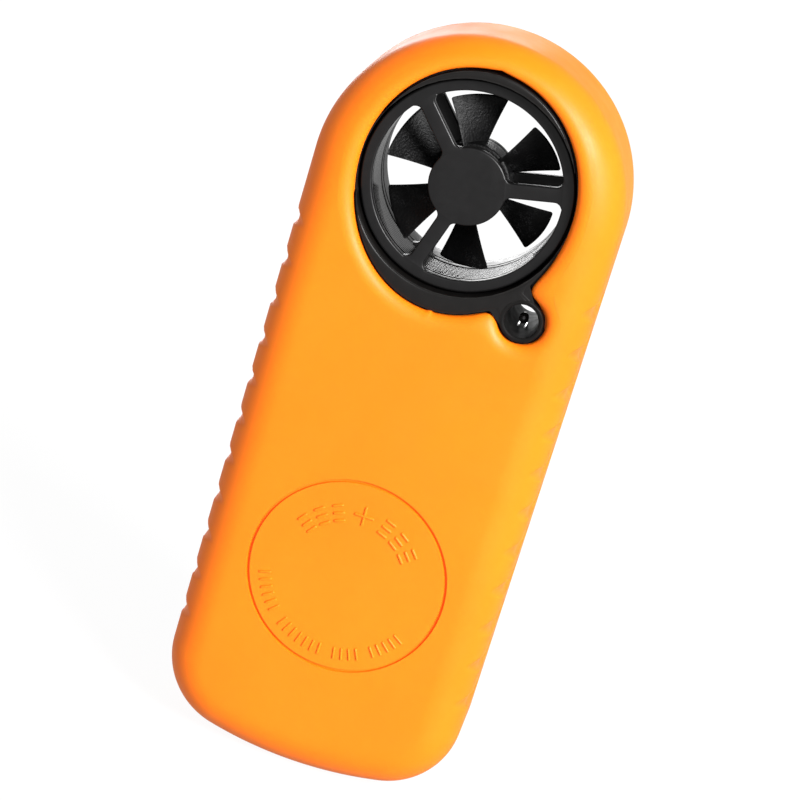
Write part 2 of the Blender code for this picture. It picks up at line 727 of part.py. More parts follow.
def make_impeller():
    """The rotor: a hub cup, open towards the display side for its magnet, and six blades."""
    low, high = ROTOR_HUB_Y
    rim = ROTOR_HUB_RADIUS
    profile = [(1.0 * MM, high), (rim - 0.2 * MM, high), (rim, high - 0.2 * MM), (rim, low)]
    profile += [(4.2 * MM, low), (4.2 * MM, 2.6 * MM), (1.9 * MM, 2.6 * MM), (1.9 * MM, 0.9 * MM)]
    profile += [(1.0 * MM, 0.9 * MM)]
    impeller = turned("impeller", profile, (0.0, HEAD_Z), BLACK_SHELL, segments=30)
    blades = finish(bpy.data.objects.new("blades", blade_mesh()), None)
    blades.location = (0.0, 0.0, HEAD_Z)
    join(impeller, blades)


def make_turbine():
    """Guards, ring, rotor, shaft, magnet and jewels, all on the impeller's axis."""
    centre = (0.0, HEAD_Z)
    make_guard("rear_guard", REAR_GUARD_Y, (4.2 * MM, 5.8 * MM), (3 * MM, 5.5 * MM))
    make_guard("front_guard", FRONT_GUARD_Y, (-3.0 * MM, -1.5 * MM), (-2.4 * MM, 1 * MM))
    make_duct_ring()
    make_impeller()
    for name, span in (("rear_jewel", (4.3, 5.2)), ("front_jewel", (-2.1, -1.2))):
        low, high = span[0] * MM, span[1] * MM
        bore = SHAFT_RADIUS + GAP
        profile = [(bore, high), (JEWEL_RADIUS, high), (JEWEL_RADIUS, low), (bore, low)]
        turned(name, profile, centre, JEWEL, segments=24)
    discs("impeller_shaft", [centre], SHAFT_RADIUS, (-1.8 * MM, 5.0 * MM), STEEL, 16)
    magnet = [(2.2, 2.3), (3.9, 2.3), (3.9, 0.4), (2.2, 0.4)]
    turned("rotor_magnet", [(r * MM, y * MM) for r, y in magnet], centre, MAGNET, segments=24)


# Display and keys


def make_display():
    """Window, liquid crystal glass, its frame, the light spreader and the contact strips."""
    centre = (0.0, DISPLAY_Z)
    window = rounded_rectangle(*WINDOW_SIZE, 2.0 * MM)
    plate("display_window", [window], (-8.45 * MM, -8.0 * MM), CLEAR_WINDOW, centre)
    glass_span = (-6.6 * MM, -4.9 * MM)
    plate("lcd_glass", [rounded_rectangle(*GLASS_SIZE, 0.4 * MM)], glass_span, LCD_GLASS, centre)
    inner = rounded_rectangle(GLASS_SIZE[0] + 2 * GAP, GLASS_SIZE[1] + 2 * GAP, 0.6 * MM)
    outer = rounded_rectangle(26.6 * MM, 22.4 * MM, 1.2 * MM)
    plate("lcd_frame", [outer, inner], (-6.6 * MM, -3.6 * MM), BLACK_SHELL, centre)
    strip = (21.0 * MM, 1.1 * MM, 1.6 * MM)
    for name, side in (("zebra_strip_top", 1), ("zebra_strip_bottom", -1)):
        place = (0.0, -4.05 * MM, DISPLAY_Z + side * 8.5 * MM)
        block(name, strip, place, GREY_RUBBER)
    spreader = (20.0 * MM, 1.1 * MM, 13.0 * MM)
    block("backlight_diffuser", spreader, (0.0, -4.05 * MM, DISPLAY_Z), WHITE_PLASTIC, 0.2 * MM)


def make_key(name, side):
    """A key cap with a flange behind the face, over a tactile switch and its plunger."""
    centre = (side * KEY_X, KEY_Z)
    cap = plate(f"{name}_button", [key_outline()], (-8.95 * MM, -6.3 * MM), BLACK_SHELL, centre)
    round_rims(cap, front=0.5 * MM, segments=3)
    flange = plate(f"{name}_flange", [key_outline(0.7 * MM)], (-6.7 * MM, -6.1 * MM), None, centre)
    join(cap, flange)
    place = (centre[0], -4.3 * MM, centre[1])
    switch = block(f"{name}_switch_body", (5.0 * MM, 1.6 * MM, 5.0 * MM), place, STEEL, 0.3 * MM)
    well = discs(f"{name}_well_cut", [centre], 1.9 * MM, (-6 * MM, -3.8 * MM), None, 20)
    cut(switch, well)
    discs(f"{name}_switch_plunger", [centre], 1.5 * MM, (-5.8 * MM, -4.4 * MM), BLACK_SHELL, 20)


# Board, cell and door


def board_outline():
    """The board follows the base of the body and ends square under the duct."""
    inset = SHELL_INSET + SHELL_WALL + 0.8 * MM
    low = [point for point in body_outline(inset) if point[1] < HEAD_ARC_Z - 1 * MM]
    half = HALF_WIDTH - inset
    return [(half, BOARD_TOP_Z), (-half, BOARD_TOP_Z), *low]


def make_board():
    """The circuit board with holes for the screw posts, and what is soldered to it."""
    holes = [circle(BOARD_HOLE_RADIUS, 16, place) for place in screw_places()]
    plate("circuit_board", [board_outline(), *holes], BOARD_Y, GREEN_BOARD)
    dome = [(0.0, -0.4), (1.6, -0.5), (3.2, -0.9), (4.2, -1.4), (4.5, -1.9), (0.0, -1.9)]
    turned(
        "chip_cover", [(r * MM, y * MM) for r, y in dome], (-1 * MM, DISPLAY_Z + 6 * MM), BLACK_GLOSS,
        closed=False, segments=24,
    )
    crystal = discs("timing_crystal", [(0.0, 0.0)], 1.0 * MM, (-3 * MM, 3 * MM), STEEL, 16)
    crystal.location = (9.5 * MM, -0.85 * MM, DISPLAY_Z + 6 * MM)
    crystal.rotation_euler = (math.pi / 2, 0.0, 0.0)
    hall_place = (4 * MM, -1.1 * MM, BOARD_TOP_Z - 2 * MM)
    block("hall_sensor", (4.0 * MM, 1.5 * MM, 2.6 * MM), hall_place, BLACK_SHELL, 0.2 * MM)


def make_cell():
    """The coin cell, its holder and its two contacts."""
    centre = (0.0, CELL_Z)
    inner = HOLDER_RADIUS - 1.1 * MM
    holder = [(0.0, -0.9 * MM), (inner, -0.9 * MM), (inner, 3.3 * MM), (HOLDER_RADIUS, 3.3 * MM)]
    holder += [(HOLDER_RADIUS, -1.9 * MM), (0.0, -1.9 * MM)]
    turned("battery_holder", holder, centre, BLACK_SHELL, closed=False, segments=36)
    can = [(0.0, CELL_Y[1]), (CELL_RADIUS - 0.3 * MM, CELL_Y[1]), (CELL_RADIUS, CELL_Y[1] - 0.3 * MM)]
    can += [(CELL_RADIUS, 0.7 * MM), (8.6 * MM, 0.5 * MM), (8.4 * MM, CELL_Y[0]), (0.0, CELL_Y[0])]
    turned("coin_cell", can, centre, STEEL, closed=False, segments=36)
    star = []
    for arm in range(3):
        for turn, radius in ((-14, 8.2), (14, 8.2), (42, 2.2), (78, 2.2)):
            angle = math.radians(arm * 120 + turn)
            star.append((radius * MM * math.cos(angle), radius * MM * math.sin(angle)))
    plate("negative_contact", [star], (-0.6 * MM, -0.25 * MM), STEEL, centre)
    strip = arc((0.0, 0.0), 10.6 * MM, 60.0, 120.0, 8) + arc((0.0, 0.0), 10.3 * MM, 120.0, 60.0, 8)
    plate("positive_contact", [strip], (0.3 * MM, 3.0 * MM), STEEL, centre)


def make_door():
    """The bayonet door over the cell: flange with a coin slot, skirt, lugs and a boss for the seal."""
    centre = (0.0, CELL_Z)
    top, under, foot = REAR_SHELL_Y, 5.3 * MM, 3.9 * MM
    door = [(0.0, top), (DOOR_RADIUS - 0.3 * MM, top), (DOOR_RADIUS, top - 0.3 * MM)]
    door += [(DOOR_RADIUS, foot), (11.0 * MM, foot), (11.0 * MM, under), (9.6 * MM, under)]
    door += [(9.6 * MM, 4.4 * MM), (0.0, 4.4 * MM)]
    battery_door = turned("battery_door", door, centre, BLACK_SHELL, closed=False, segments=40)
    lug_shape = lug_mesh("door_lugs", 11.6 * MM, 13.4 * MM, 12.0, 1.3 * MM)
    lugs = finish(bpy.data.objects.new("door_lugs", lug_shape), None)
    lugs.location = (0.0, 4.55 * MM, CELL_Z)
    slot = rounded_rectangle(*COIN_SLOT, COIN_SLOT[1] / 2 - 0.01 * MM)
    slot_cut = plate("coin_slot_cut", [slot], (top - 0.8 * MM, top + 1 * MM), None, centre)
    cut(join(battery_door, lugs), slot_cut)
    ring = circle(0.4 * MM, 8, (10.3 * MM, 4.65 * MM))
    turned("door_seal", list(reversed(ring)), centre, GREY_RUBBER, segments=24)


# Sensor and screws


def make_sensor():
    """The thermistor bead in its bore, and the two leads that run down to the board."""
    sensor = turned(
        "thermistor_bead", [(r * MM, z * MM) for r, z in BEAD_PROFILE], (0.0, 0.0), BLACK_GLOSS,
        closed=False, segments=16,
    )
    sensor.location = (BORE_X, BEAD_Y, BEAD_Z)
    sensor.rotation_euler = (0.0, 0.0, 0.0)
    for name, side in (("thermistor_lead_a", -1), ("thermistor_lead_b", 1)):
        make_lead(name, BORE_X + side * LEAD_SPACING)


def make_lead(name, x):
    """A thin wire from under the bead, along the bore, out through its slot, and down to the board."""
    points = [(4.0, -1.65), (1.7, -1.75), (1.2, -1.95), (1.0, -2.4)]
    points += [(1.0, -3.6), (0.8, -4.0), (0.3, -4.2), (-1.9, -4.2)]
    curve = bpy.data.curves.new(name, "CURVE")
    curve.dimensions = "3D"
    curve.bevel_depth = LEAD_RADIUS
    curve.bevel_resolution = 1
    curve.use_fill_caps = True
    spline = curve.splines.new("POLY")
    spline.points.add(len(points) - 1)
    for point, (y, z) in zip(spline.points, points):
        point.co = (x, y * MM, BORE_Z + z * MM, 1.0)
    wire = bpy.data.objects.new(name + "_path", curve)
    bpy.context.scene.collection.objects.link(wire)
    bpy.context.view_layer.update()
    graph = bpy.context.evaluated_depsgraph_get()
    solid = bpy.data.objects.new(name, bpy.data.meshes.new_from_object(wire.evaluated_get(graph)))
    bpy.data.objects.remove(wire)
    weld(solid)
    return smooth(finish(solid, STEEL))


def make_screws():
    """Four screws from the back, with flat heads and cross recesses."""
    profile = [(0.0, 4.9), (1.7, 4.9), (1.95, 4.6), (1.95, 3.4), (0.85, 3.4), (0.85, -4.6)]
    profile += [(0.0, -4.9)]
    for number, place in enumerate(screw_places(), 1):
        name = f"shell_screw_{number}"
        screw = turned(
            name, [(r * MM, y * MM) for r, y in profile], place, STEEL, closed=False, segments=14
        )
        turn = math.radians(SCREW_TURN)
        arm, half = 1.0 * MM, 0.22 * MM
        cross = [(arm, half), (half, half), (half, arm), (-half, arm), (-half, half), (-arm, half)]
        cross += [(-x, -z) for x, z in cross]
        cross = [
            (x * math.cos(turn) - z * math.sin(turn), x * math.sin(turn) + z * math.cos(turn))
            for x, z in cross
        ]
        recess = plate(name + "_recess_cut", [cross], (4.3 * MM, 6 * MM), None, place)
        cut(screw, recess)


make_sleeve()
make_rear_shell()
make_front_shell()
make_turbine()
make_display()
make_key("mode", -1)
make_key("set", 1)
make_board()
make_cell()
make_door()
make_sensor()
make_screws()
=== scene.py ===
# %% [markdown]
# # A pocket weather meter
# A small wind and weather meter: an orange silicone sleeve over a black two-shell body, with a six-blade
# impeller in its round head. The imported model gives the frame: every size and place below starts from it,
# and each new surface is worked out as a numpy grid around it. Lengths are in metres, and MM is one
# millimetre. The meter stands upright, its display side faces -Y and its orange back faces +Y.

# %% Load the frame
import math

import bpy
import numpy as np
from mathutils import Matrix, Vector


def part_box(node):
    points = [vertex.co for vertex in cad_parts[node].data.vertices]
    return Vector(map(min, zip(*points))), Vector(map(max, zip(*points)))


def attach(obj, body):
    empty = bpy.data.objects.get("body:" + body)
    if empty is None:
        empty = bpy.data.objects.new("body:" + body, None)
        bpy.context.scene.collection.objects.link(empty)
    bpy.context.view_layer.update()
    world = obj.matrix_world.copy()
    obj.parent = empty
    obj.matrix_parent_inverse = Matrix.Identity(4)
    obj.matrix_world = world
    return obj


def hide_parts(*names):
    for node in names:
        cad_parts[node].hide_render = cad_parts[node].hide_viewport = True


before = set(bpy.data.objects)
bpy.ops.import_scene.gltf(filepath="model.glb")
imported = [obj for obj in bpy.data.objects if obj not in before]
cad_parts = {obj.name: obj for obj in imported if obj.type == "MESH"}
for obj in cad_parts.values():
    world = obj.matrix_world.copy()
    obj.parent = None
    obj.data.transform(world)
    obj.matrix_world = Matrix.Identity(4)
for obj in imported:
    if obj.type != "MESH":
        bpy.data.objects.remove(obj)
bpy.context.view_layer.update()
MM = 0.001

# %% [markdown]
# The main sizes come from the boxes of the CAD nodes. The middle of the head is the impeller's axis, and
# most outlines are drawn about it, as (x, z) points in the plane of the back.

# %% Sizes from the frame


def span(node):
    """A node's lowest and highest corner, and its middle."""
    low, high = (np.array(corner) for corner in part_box(node))
    return low, high, (low + high) / 2


SLEEVE_LOW, SLEEVE_HIGH, _ = span("sleeve")
GUARD_LOW, GUARD_HIGH, GUARD_MIDDLE = span("rear_guard")
ROTOR_LOW, ROTOR_HIGH, _ = span("impeller")
CELL_MIDDLE = span("coin_cell")[2]
BEAD_MIDDLE = span("thermistor_bead")[2]
HALF_WIDTH = SLEEVE_HIGH[0]
BACK = SLEEVE_HIGH[1]
FRONT = SLEEVE_LOW[1]
HEAD = np.array([0.0, GUARD_MIDDLE[2]])
HEAD_ARC = np.array([0.0, SLEEVE_HIGH[2] - HALF_WIDTH])
CELL = np.array([0.0, CELL_MIDDLE[2]])
BORE = HEAD + np.array([-11.5, -13.8]) * MM
CASSETTE_RADIUS = (GUARD_HIGH[0] - GUARD_LOW[0]) / 2
TIP_RADIUS = (ROTOR_HIGH[2] - ROTOR_LOW[2]) / 2
print("half width", HALF_WIDTH, "head", HEAD, "guard radius", CASSETTE_RADIUS)

# %% [markdown]
# ## Grids, skins and pieces
# A ring is a closed row of points. A stack of rings makes a skin: neighbouring rings are joined by quads.
# If the stack closes on itself the skin is a tube bent into a loop, and otherwise each end can be closed
# with a fan of triangles to one middle point. The sign of the enclosed volume says which way the faces
# point, so every skin is turned to face outwards.

# %% Skins


def ring(flat, depth):
    """Lift (x, z) points into space: x stays, z goes up, and depth is y."""
    return np.column_stack([flat[:, 0], np.broadcast_to(depth, len(flat)), flat[:, 1]])


def skin(rings, closed=False):
    """Quads between rings, with the columns wrapping round; open ends get fans to their middle points."""
    rings = np.asarray(rings, float)
    rows, columns = rings.shape[:2]
    index = np.arange(rows * columns).reshape(rows, columns)
    lower = index if closed else index[:-1]
    upper = np.roll(index, -1, axis=0) if closed else index[1:]
    quads = np.stack([lower, np.roll(lower, -1, 1), np.roll(upper, -1, 1), upper], -1).reshape(-1, 4)
    points = rings.reshape(-1, 3)
    fans = np.zeros((0, 3), int)
    if not closed:
        count = len(points)
        points = np.vstack([points, rings[0].mean(0), rings[-1].mean(0)])
        first = np.stack([np.roll(index[0], -1), index[0], np.full(columns, count)], -1)
        last = np.stack([index[-1], np.roll(index[-1], -1), np.full(columns, count + 1)], -1)
        fans = np.vstack([first, last])
    return outward(points, quads, fans)


def outward(points, quads, fans):
    """Turn a closed skin so that its volume, the sum of its faces' cones from the origin, is positive."""
    corners = np.vstack([quads[:, [0, 1, 2]], quads[:, [0, 2, 3]], fans])
    a, b, c = (points[corners[:, i]] for i in range(3))
    if np.einsum("ij,ij->i", a, np.cross(b, c)).sum() < 0:
        quads, fans = quads[:, ::-1], fans[:, ::-1]
    return points, quads, fans


def together(skins):
    """Several skins as one shape, each keeping its own faces."""
    starts = np.cumsum([0] + [len(points) for points, _, _ in skins[:-1]])
    return (
        np.vstack([points for points, _, _ in skins]),
        np.vstack([quads + start for (_, quads, _), start in zip(skins, starts)]),
        np.vstack([fans + start for (_, _, fans), start in zip(skins, starts)]),
    )


def piece(name, shape, sharp=40.0):
    """Put a shape into a mesh object, smooth where its faces meet at less than the sharp angle."""
    points, quads, fans = shape
    mesh = bpy.data.meshes.new(name)
    mesh.from_pydata(points.tolist(), [], quads.tolist() + fans.tolist())
    obj = bpy.data.objects.new(name, mesh)
    bpy.context.scene.collection.objects.link(obj)
    finish_shading(obj, sharp)
    return obj


def finish_shading(obj, sharp=40.0):
    """Smooth shading with the sharp edges kept."""
    obj.data.shade_smooth()
    obj.data.set_sharp_from_angle(angle=math.radians(sharp))


def carve(target, other, operation="DIFFERENCE", sharp=40.0):
    """Cut other from target, or unite them, and keep the result as target's own mesh."""
    boolean = target.modifiers.new("carve", "BOOLEAN")
    boolean.operation = operation
    boolean.solver = "MANIFOLD"
    boolean.object = other
    graph = bpy.context.evaluated_depsgraph_get()
    mesh = bpy.data.meshes.new_from_object(target.evaluated_get(graph))
    target.modifiers.clear()
    target.data = mesh
    bpy.data.objects.remove(other)
    finish_shading(target, sharp)
    return target


def level_flats(obj):
    """Keep big flat faces flat beside small rounded ones: the largest face decides an edge's normal."""
    weighted = obj.modifiers.new("level_flats", "WEIGHTED_NORMAL")
    weighted.keep_sharp = True
    weighted.weight = 100
    return obj


# %% [markdown]
# ## Outlines and profiles
# The body's outline is a half-round head, two straight sides, two corner arcs and a softly bulged base.
# Each point also keeps its outward direction, so that an inset outline is the point less the inset times
# that direction. The corner arcs touch the base arc, which fixes the height of their centres.

# %% The body's outline
CORNER_RADIUS = 10.3 * MM
BASE_RADIUS = 54.0 * MM
OUTLINE_STEPS = {"head": 132, "side": 300, "corner": 32, "base": 36}


def arc(centre, radius, start, end, steps):
    """Points on a circle, in degrees, without the last, and their outward directions."""
    angle = np.radians(np.linspace(start, end, steps, endpoint=False))
    direction = np.column_stack([np.cos(angle), np.sin(angle)])
    return np.asarray(centre) + radius * direction, direction


def straight(start, end, direction, steps):
    """Points on a line, without the last, that share one outward direction."""
    share = np.linspace(0, 1, steps, endpoint=False)[:, None]
    points = np.asarray(start) * (1 - share) + np.asarray(end) * share
    return points, np.tile(np.asarray(direction, float), (steps, 1))


def body_outline():
    """Head arc, left side, left corner, base arc, right corner, right side."""
    corner_x = HALF_WIDTH - CORNER_RADIUS
    corner_z = BASE_RADIUS - math.sqrt((BASE_RADIUS - CORNER_RADIUS) ** 2 - corner_x**2)
    touch = math.degrees(math.atan2(corner_x, BASE_RADIUS - corner_z))
    steps = OUTLINE_STEPS
    runs = [
        arc(HEAD_ARC, HALF_WIDTH, 0, 180, steps["head"]),
        straight((-HALF_WIDTH, HEAD_ARC[1]), (-HALF_WIDTH, corner_z), (-1, 0), steps["side"]),
        arc((-corner_x, corner_z), CORNER_RADIUS, 180, 270 - touch, steps["corner"]),
        arc((0, BASE_RADIUS), BASE_RADIUS, 270 - touch, 270 + touch, steps["base"]),
        arc((corner_x, corner_z), CORNER_RADIUS, 270 + touch, 360, steps["corner"]),
        straight((HALF_WIDTH, corner_z), (HALF_WIDTH, HEAD_ARC[1]), (1, 0), steps["side"]),
    ]
    return tuple(np.vstack(parts) for parts in zip(*runs))


OUTLINE, OUTWARD = body_outline()


def rim(inset):
    """The body's outline moved inwards."""
    return OUTLINE - np.asarray(inset)[..., None] * OUTWARD


RAY_START = HEAD + np.array([-6.0, -8.0]) * MM
SPREAD = rim(3.0 * MM) - RAY_START
SPREAD = SPREAD / np.linalg.norm(SPREAD, axis=1)[:, None]
print("outline points", len(OUTLINE), "lowest", OUTLINE[:, 1].min())

# %% [markdown]
# The opening in the sleeve's back is an egg round the impeller and a small lobe round the sensor bore.
# Each is a distance field, the two are blended softly, and the outline is found along straight rays by
# halving the interval between a point inside and a point outside. The rays start between the impeller's
# axis and the bore, from where all of the outline can be seen, and each runs to one outline point.

# %% The opening's outline
EGG_HALF_WIDTH = 13.8 * MM
EGG_TOP = 15.1 * MM
EGG_BOTTOM = 16.4 * MM
LOBE_RADIUS = 3.1 * MM
LOBE_BLEND = 2.6 * MM


def opening_distance(x, z):
    """How far points lie outside the opening: egg and lobe distances with a smooth blend."""
    half_height = np.where(z > 0, EGG_TOP, EGG_BOTTOM)
    reach = np.hypot(x, z)
    egg = reach - reach / np.hypot(x / EGG_HALF_WIDTH, z / half_height)
    lobe = np.hypot(x - BORE[0] + HEAD[0], z - BORE[1] + HEAD[1]) - LOBE_RADIUS
    share = np.clip(0.5 + 0.5 * (lobe - egg) / LOBE_BLEND, 0, 1)
    return lobe + (egg - lobe) * share - LOBE_BLEND * share * (1 - share)


def along_rays(reach):
    """Points at these distances along the rays."""
    return RAY_START + SPREAD * np.broadcast_to(reach, len(SPREAD))[:, None]


def opening(level=0.0):
    """Points on the rays where the distance from the opening's outline equals level."""
    near, far = np.full(len(SPREAD), 2 * MM), np.full(len(SPREAD), 30 * MM)
    for _ in range(30):
        middle = (near + far) / 2
        outside = opening_distance(*(along_rays(middle) - HEAD).T) > level
        near, far = np.where(outside, near, middle), np.where(outside, middle, far)
    return along_rays(near)


def head_circle(radius):
    """Points on the rays at this radius from the impeller's axis: the root of a quadratic."""
    start = RAY_START - HEAD
    towards = SPREAD @ start
    return along_rays(np.sqrt(towards**2 - start @ start + radius**2) - towards)


print("opening about the head", np.abs(opening() - HEAD).max(0))

# %% [markdown]
# A profile is a polygon of (radius, depth) corners. Softening replaces each corner with a short curve that
# leaves one side and joins the other smoothly, which is what a moulded edge looks like.

# %% Profiles and turned shapes


def soften(corners, radii, steps=4):
    """Round a closed polygon's corners: each becomes a quadratic curve between points one radius away."""
    corners = np.asarray(corners, float)
    before, after = np.roll(corners, 1, 0), np.roll(corners, -1, 0)
    radii = np.broadcast_to(radii, len(corners))[:, None]
    come = before - corners
    go = after - corners
    start = corners + come / np.linalg.norm(come, axis=1)[:, None] * radii
    end = corners + go / np.linalg.norm(go, axis=1)[:, None] * radii
    t = np.linspace(0, 1, steps + 1)[None, :, None]
    curve = (1 - t) ** 2 * start[:, None] + 2 * t * (1 - t) * corners[:, None] + t**2 * end[:, None]
    return curve.reshape(-1, 2)


def circle_rings(profile, centre, steps=128):
    """One circle about a line along Y for each (radius, depth) point of a profile."""
    directions = arc((0, 0), 1.0, 0, 360, steps)[1]
    return [ring(np.asarray(centre) + radius * directions, depth) for radius, depth in profile]


def turned(corners, radii, centre, steps=128, curve_steps=4):
    """A closed profile with soft corners, turned about a line along Y."""
    profile = soften(np.asarray(corners, float) * MM, np.asarray(radii) * MM, curve_steps)
    return skin(circle_rings(profile, centre, steps), closed=True)


def capped(corners, centre, steps=96):
    """An open profile in millimetres that starts and ends near the axis, turned and closed by fans."""
    return skin(circle_rings(np.asarray(corners, float) * MM, centre, steps))


# %% [markdown]
# ## Camera, floor and light
# The camera looks at the back from above and a little to the meter's sensor side, and rolls so that the
# meter leans to the right. The floor and backdrop are one plain white sweep, which glows for the camera and
# about half as much for the meter. A soft key light, up to the right of the camera, leaves the left flank a
# deeper orange, and a low one lights the display side.

# %% Camera
CAMERA_PLACE = Vector((-0.0292, 0.3607, 0.1663))
CAMERA_TARGET = Vector((0.0, 0.009, 0.0537))
CAMERA_ROLL = 17.04
CAMERA_LENS = 132.6


def add_camera():
    """A camera at its place, aimed at its target and rolled about its own axis."""
    data = bpy.data.cameras.new("camera")
    data.lens = CAMERA_LENS
    data.clip_start = 0.01
    data.clip_end = 20.0
    camera = bpy.data.objects.new("camera", data)
    aim = (CAMERA_TARGET - CAMERA_PLACE).to_track_quat("-Z", "Y").to_matrix().to_4x4()
    roll = Matrix.Rotation(math.radians(CAMERA_ROLL), 4, "Z")
    camera.matrix_world = Matrix.Translation(CAMERA_PLACE) @ aim @ roll
    bpy.context.scene.collection.objects.link(camera)
    bpy.context.scene.camera = camera


add_camera()
print("camera lens", CAMERA_LENS)

# %% Floor and light
PAPER_GLOW = 0.94
PAPER_BOUNCE = 0.52
FLOOR_STEPS = 96
FLOOR_DROP = 0.02 * MM
FLOOR_FLAT = 2.2
WALL_TOP = 3.0
WORLD_STRENGTH = 0.30


def stage_material():
    """Plain paper that looks white to the camera and glows less towards the meter.

    The Light Path node tells camera rays from the rest, and picks one of two emission colours.
    """
    material = bpy.data.materials.new("white_paper")
    material.use_nodes = True
    shader = material.node_tree.nodes["Principled BSDF"]
    shader.inputs["Base Color"].default_value = (0.06, 0.06, 0.06, 1)
    shader.inputs["Roughness"].default_value = 0.9
    shader.inputs["Specular IOR Level"].default_value = 0.1
    shader.inputs["Emission Strength"].default_value = 1.0
    path = material.node_tree.nodes.new("ShaderNodeLightPath")
    blend = material.node_tree.nodes.new("ShaderNodeMix")
    blend.data_type = "RGBA"
    for socket in blend.inputs:
        if socket.type == "RGBA":
            glow = PAPER_GLOW if socket.name == "B" else PAPER_BOUNCE
            socket.default_value = (glow, glow, glow, 1)
    result = next(socket for socket in blend.outputs if socket.type == "RGBA")
    material.node_tree.links.new(path.outputs["Is Camera Ray"], blend.inputs["Factor"])
    material.node_tree.links.new(result, shader.inputs["Emission Color"])
    return material


def add_floor():
    """A large round floor just under the base, whose edge curves up into a backdrop on all sides."""
    curve = np.linspace(0.1, 1.57, 10)
    flat = np.linspace(0.02, FLOOR_FLAT, 12)
    radii = np.concatenate([flat, FLOOR_FLAT + np.sin(curve), [FLOOR_FLAT + 1]])
    heights = np.concatenate([np.zeros(12), 1 - np.cos(curve), [WALL_TOP]])
    directions = arc((0, 0), 1.0, 0, 360, FLOOR_STEPS)[1]
    rings = [
        np.column_stack([reach * directions, np.full(FLOOR_STEPS, height - FLOOR_DROP)])
        for reach, height in zip(radii, heights)
    ]
    rows = np.arange(len(rings) * FLOOR_STEPS).reshape(-1, FLOOR_STEPS)
    lower, upper = rows[:-1], rows[1:]
    quads = np.stack([lower, np.roll(lower, -1, 1), np.roll(upper, -1, 1), upper], -1).reshape(-1, 4)
    fan = np.column_stack([rows[0], np.roll(rows[0], -1), np.full(FLOOR_STEPS, rows.size)])
    points = np.vstack([np.vstack(rings), [[0, 0, -FLOOR_DROP]]])
    floor = piece("floor", (points, quads, fan))
    floor.data.materials.append(stage_material())


def add_light(name, place, size, power, target=(0.0, 0.0, 0.055)):
    """A square soft box aimed at the meter."""
    data = bpy.data.lights.new(name, "AREA")
    data.shape = "SQUARE"
    data.size = size
    data.energy = power
    light = bpy.data.objects.new(name, data)
    light.location = place
    light.rotation_euler = (Vector(target) - Vector(place)).to_track_quat("-Z", "Y").to_euler()
    bpy.context.scene.collection.objects.link(light)


add_floor()
add_light("key", (-0.75, 0.78, 0.62), 0.45, 36.0)
add_light("display_side", (0.3, -1.1, 0.12), 0.6, 6.0)
world = bpy.data.worlds.new("studio")
world.use_nodes = True
world.node_tree.nodes["Background"].inputs["Color"].default_value = (1, 1, 1, 1)
world.node_tree.nodes["Background"].inputs["Strength"].default_value = WORLD_STRENGTH
bpy.context.scene.world = world
bpy.context.scene.view_settings.view_transform = "Standard"
print("lights", len(bpy.data.lights))

# %% [markdown]
# ## The sleeve
# One closed skin: its profile starts at the lip of the back opening, runs out over the back, round the
# side, over the display-side lip and home again along the inside. The same number of points on every ring
# lets the opening's egg shape blend straight into the body's outline along the rays.

# %% The sleeve's profile
BACK_ROUND = 5.5 * MM
FRONT_ROUND = 3.0 * MM
LIP_WIDTH = 3.4 * MM
SIDE_WALL = 1.9 * MM
BACK_WALL = 1.8 * MM
OPENING_ROUND = 1.3 * MM
OPENING_FALL = 1.9 * MM
BACK_CROWN = 0.25 * MM
SIDE_TOP = BACK - BACK_ROUND


def inset_of(flat):
    """How far (x, z) points lie inside the outline: from the head's arc, or from the straight sides."""
    x, z = flat.T
    return HALF_WIDTH - np.where(z > HEAD_ARC[1], np.hypot(x, z - HEAD_ARC[1]), np.abs(x))


def back_top(flat):
    """The back without its edge rounding: it falls away sideways as a power of x."""
    half = HALF_WIDTH - BACK_ROUND
    return BACK - BACK_CROWN * (np.minimum(np.abs(flat[:, 0]), half) / half) ** 2.5


def back_depth(flat):
    """The back with its rounding: an ellipse quarter from where the inset is less than the round."""
    short = np.clip(1 - inset_of(flat) / BACK_ROUND, 0, 1)
    return SIDE_TOP + (back_top(flat) - SIDE_TOP) * np.sqrt(1 - short**2)


def quarter(steps):
    """Sine and cosine over a quarter turn, without the first."""
    angle = np.linspace(0, math.pi / 2, steps + 1)[1:]
    return zip(np.sin(angle), np.cos(angle))


def opening_rings(wall, under):
    """Up the opening's wall and over its lip, an ellipse quarter that is wider than it is deep."""
    rings = [ring(wall, under), ring(wall, back_depth(wall) - OPENING_ROUND)]
    for sine, cosine in quarter(10):
        flat = mould_marks(opening(OPENING_FALL * (1 - cosine)), 1 - sine)
        rings.append(ring(flat, back_depth(flat) - OPENING_ROUND * (1 - sine)))
    return rings


def back_rings(start, round_start, steps=14):
    """The back, in straight shares between the opening's lip and the start of the side's rounding."""
    end = rim(round_start)
    shares = np.linspace(0, 1, steps + 1)[1:]
    flats = [start + (end - start) * share**1.3 for share in shares]
    return [ring(flat, back_depth(flat)) for flat in flats]


def side_rings(round_start):
    """Round the back edge, down the side, and round the front edge, to the display-side lip."""
    first = np.arcsin(1 - round_start / BACK_ROUND)
    top = back_top(rim(BACK_ROUND))
    side_low = FRONT + FRONT_ROUND
    rings = []
    for share in np.linspace(0, 1, 17)[1:]:
        turn = first + (math.pi / 2 - first) * share
        flat = rim(BACK_ROUND * (1 - np.sin(turn)))
        rings.append(ring(flat, SIDE_TOP + (top - SIDE_TOP) * np.cos(turn)))
    rings += [ring(rim(0.0), depth) for depth in np.linspace(SIDE_TOP, side_low, 23)[1:]]
    rings += [
        ring(rim(FRONT_ROUND * (1 - cosine)), side_low - FRONT_ROUND * sine)
        for sine, cosine in quarter(9)
    ]
    return rings


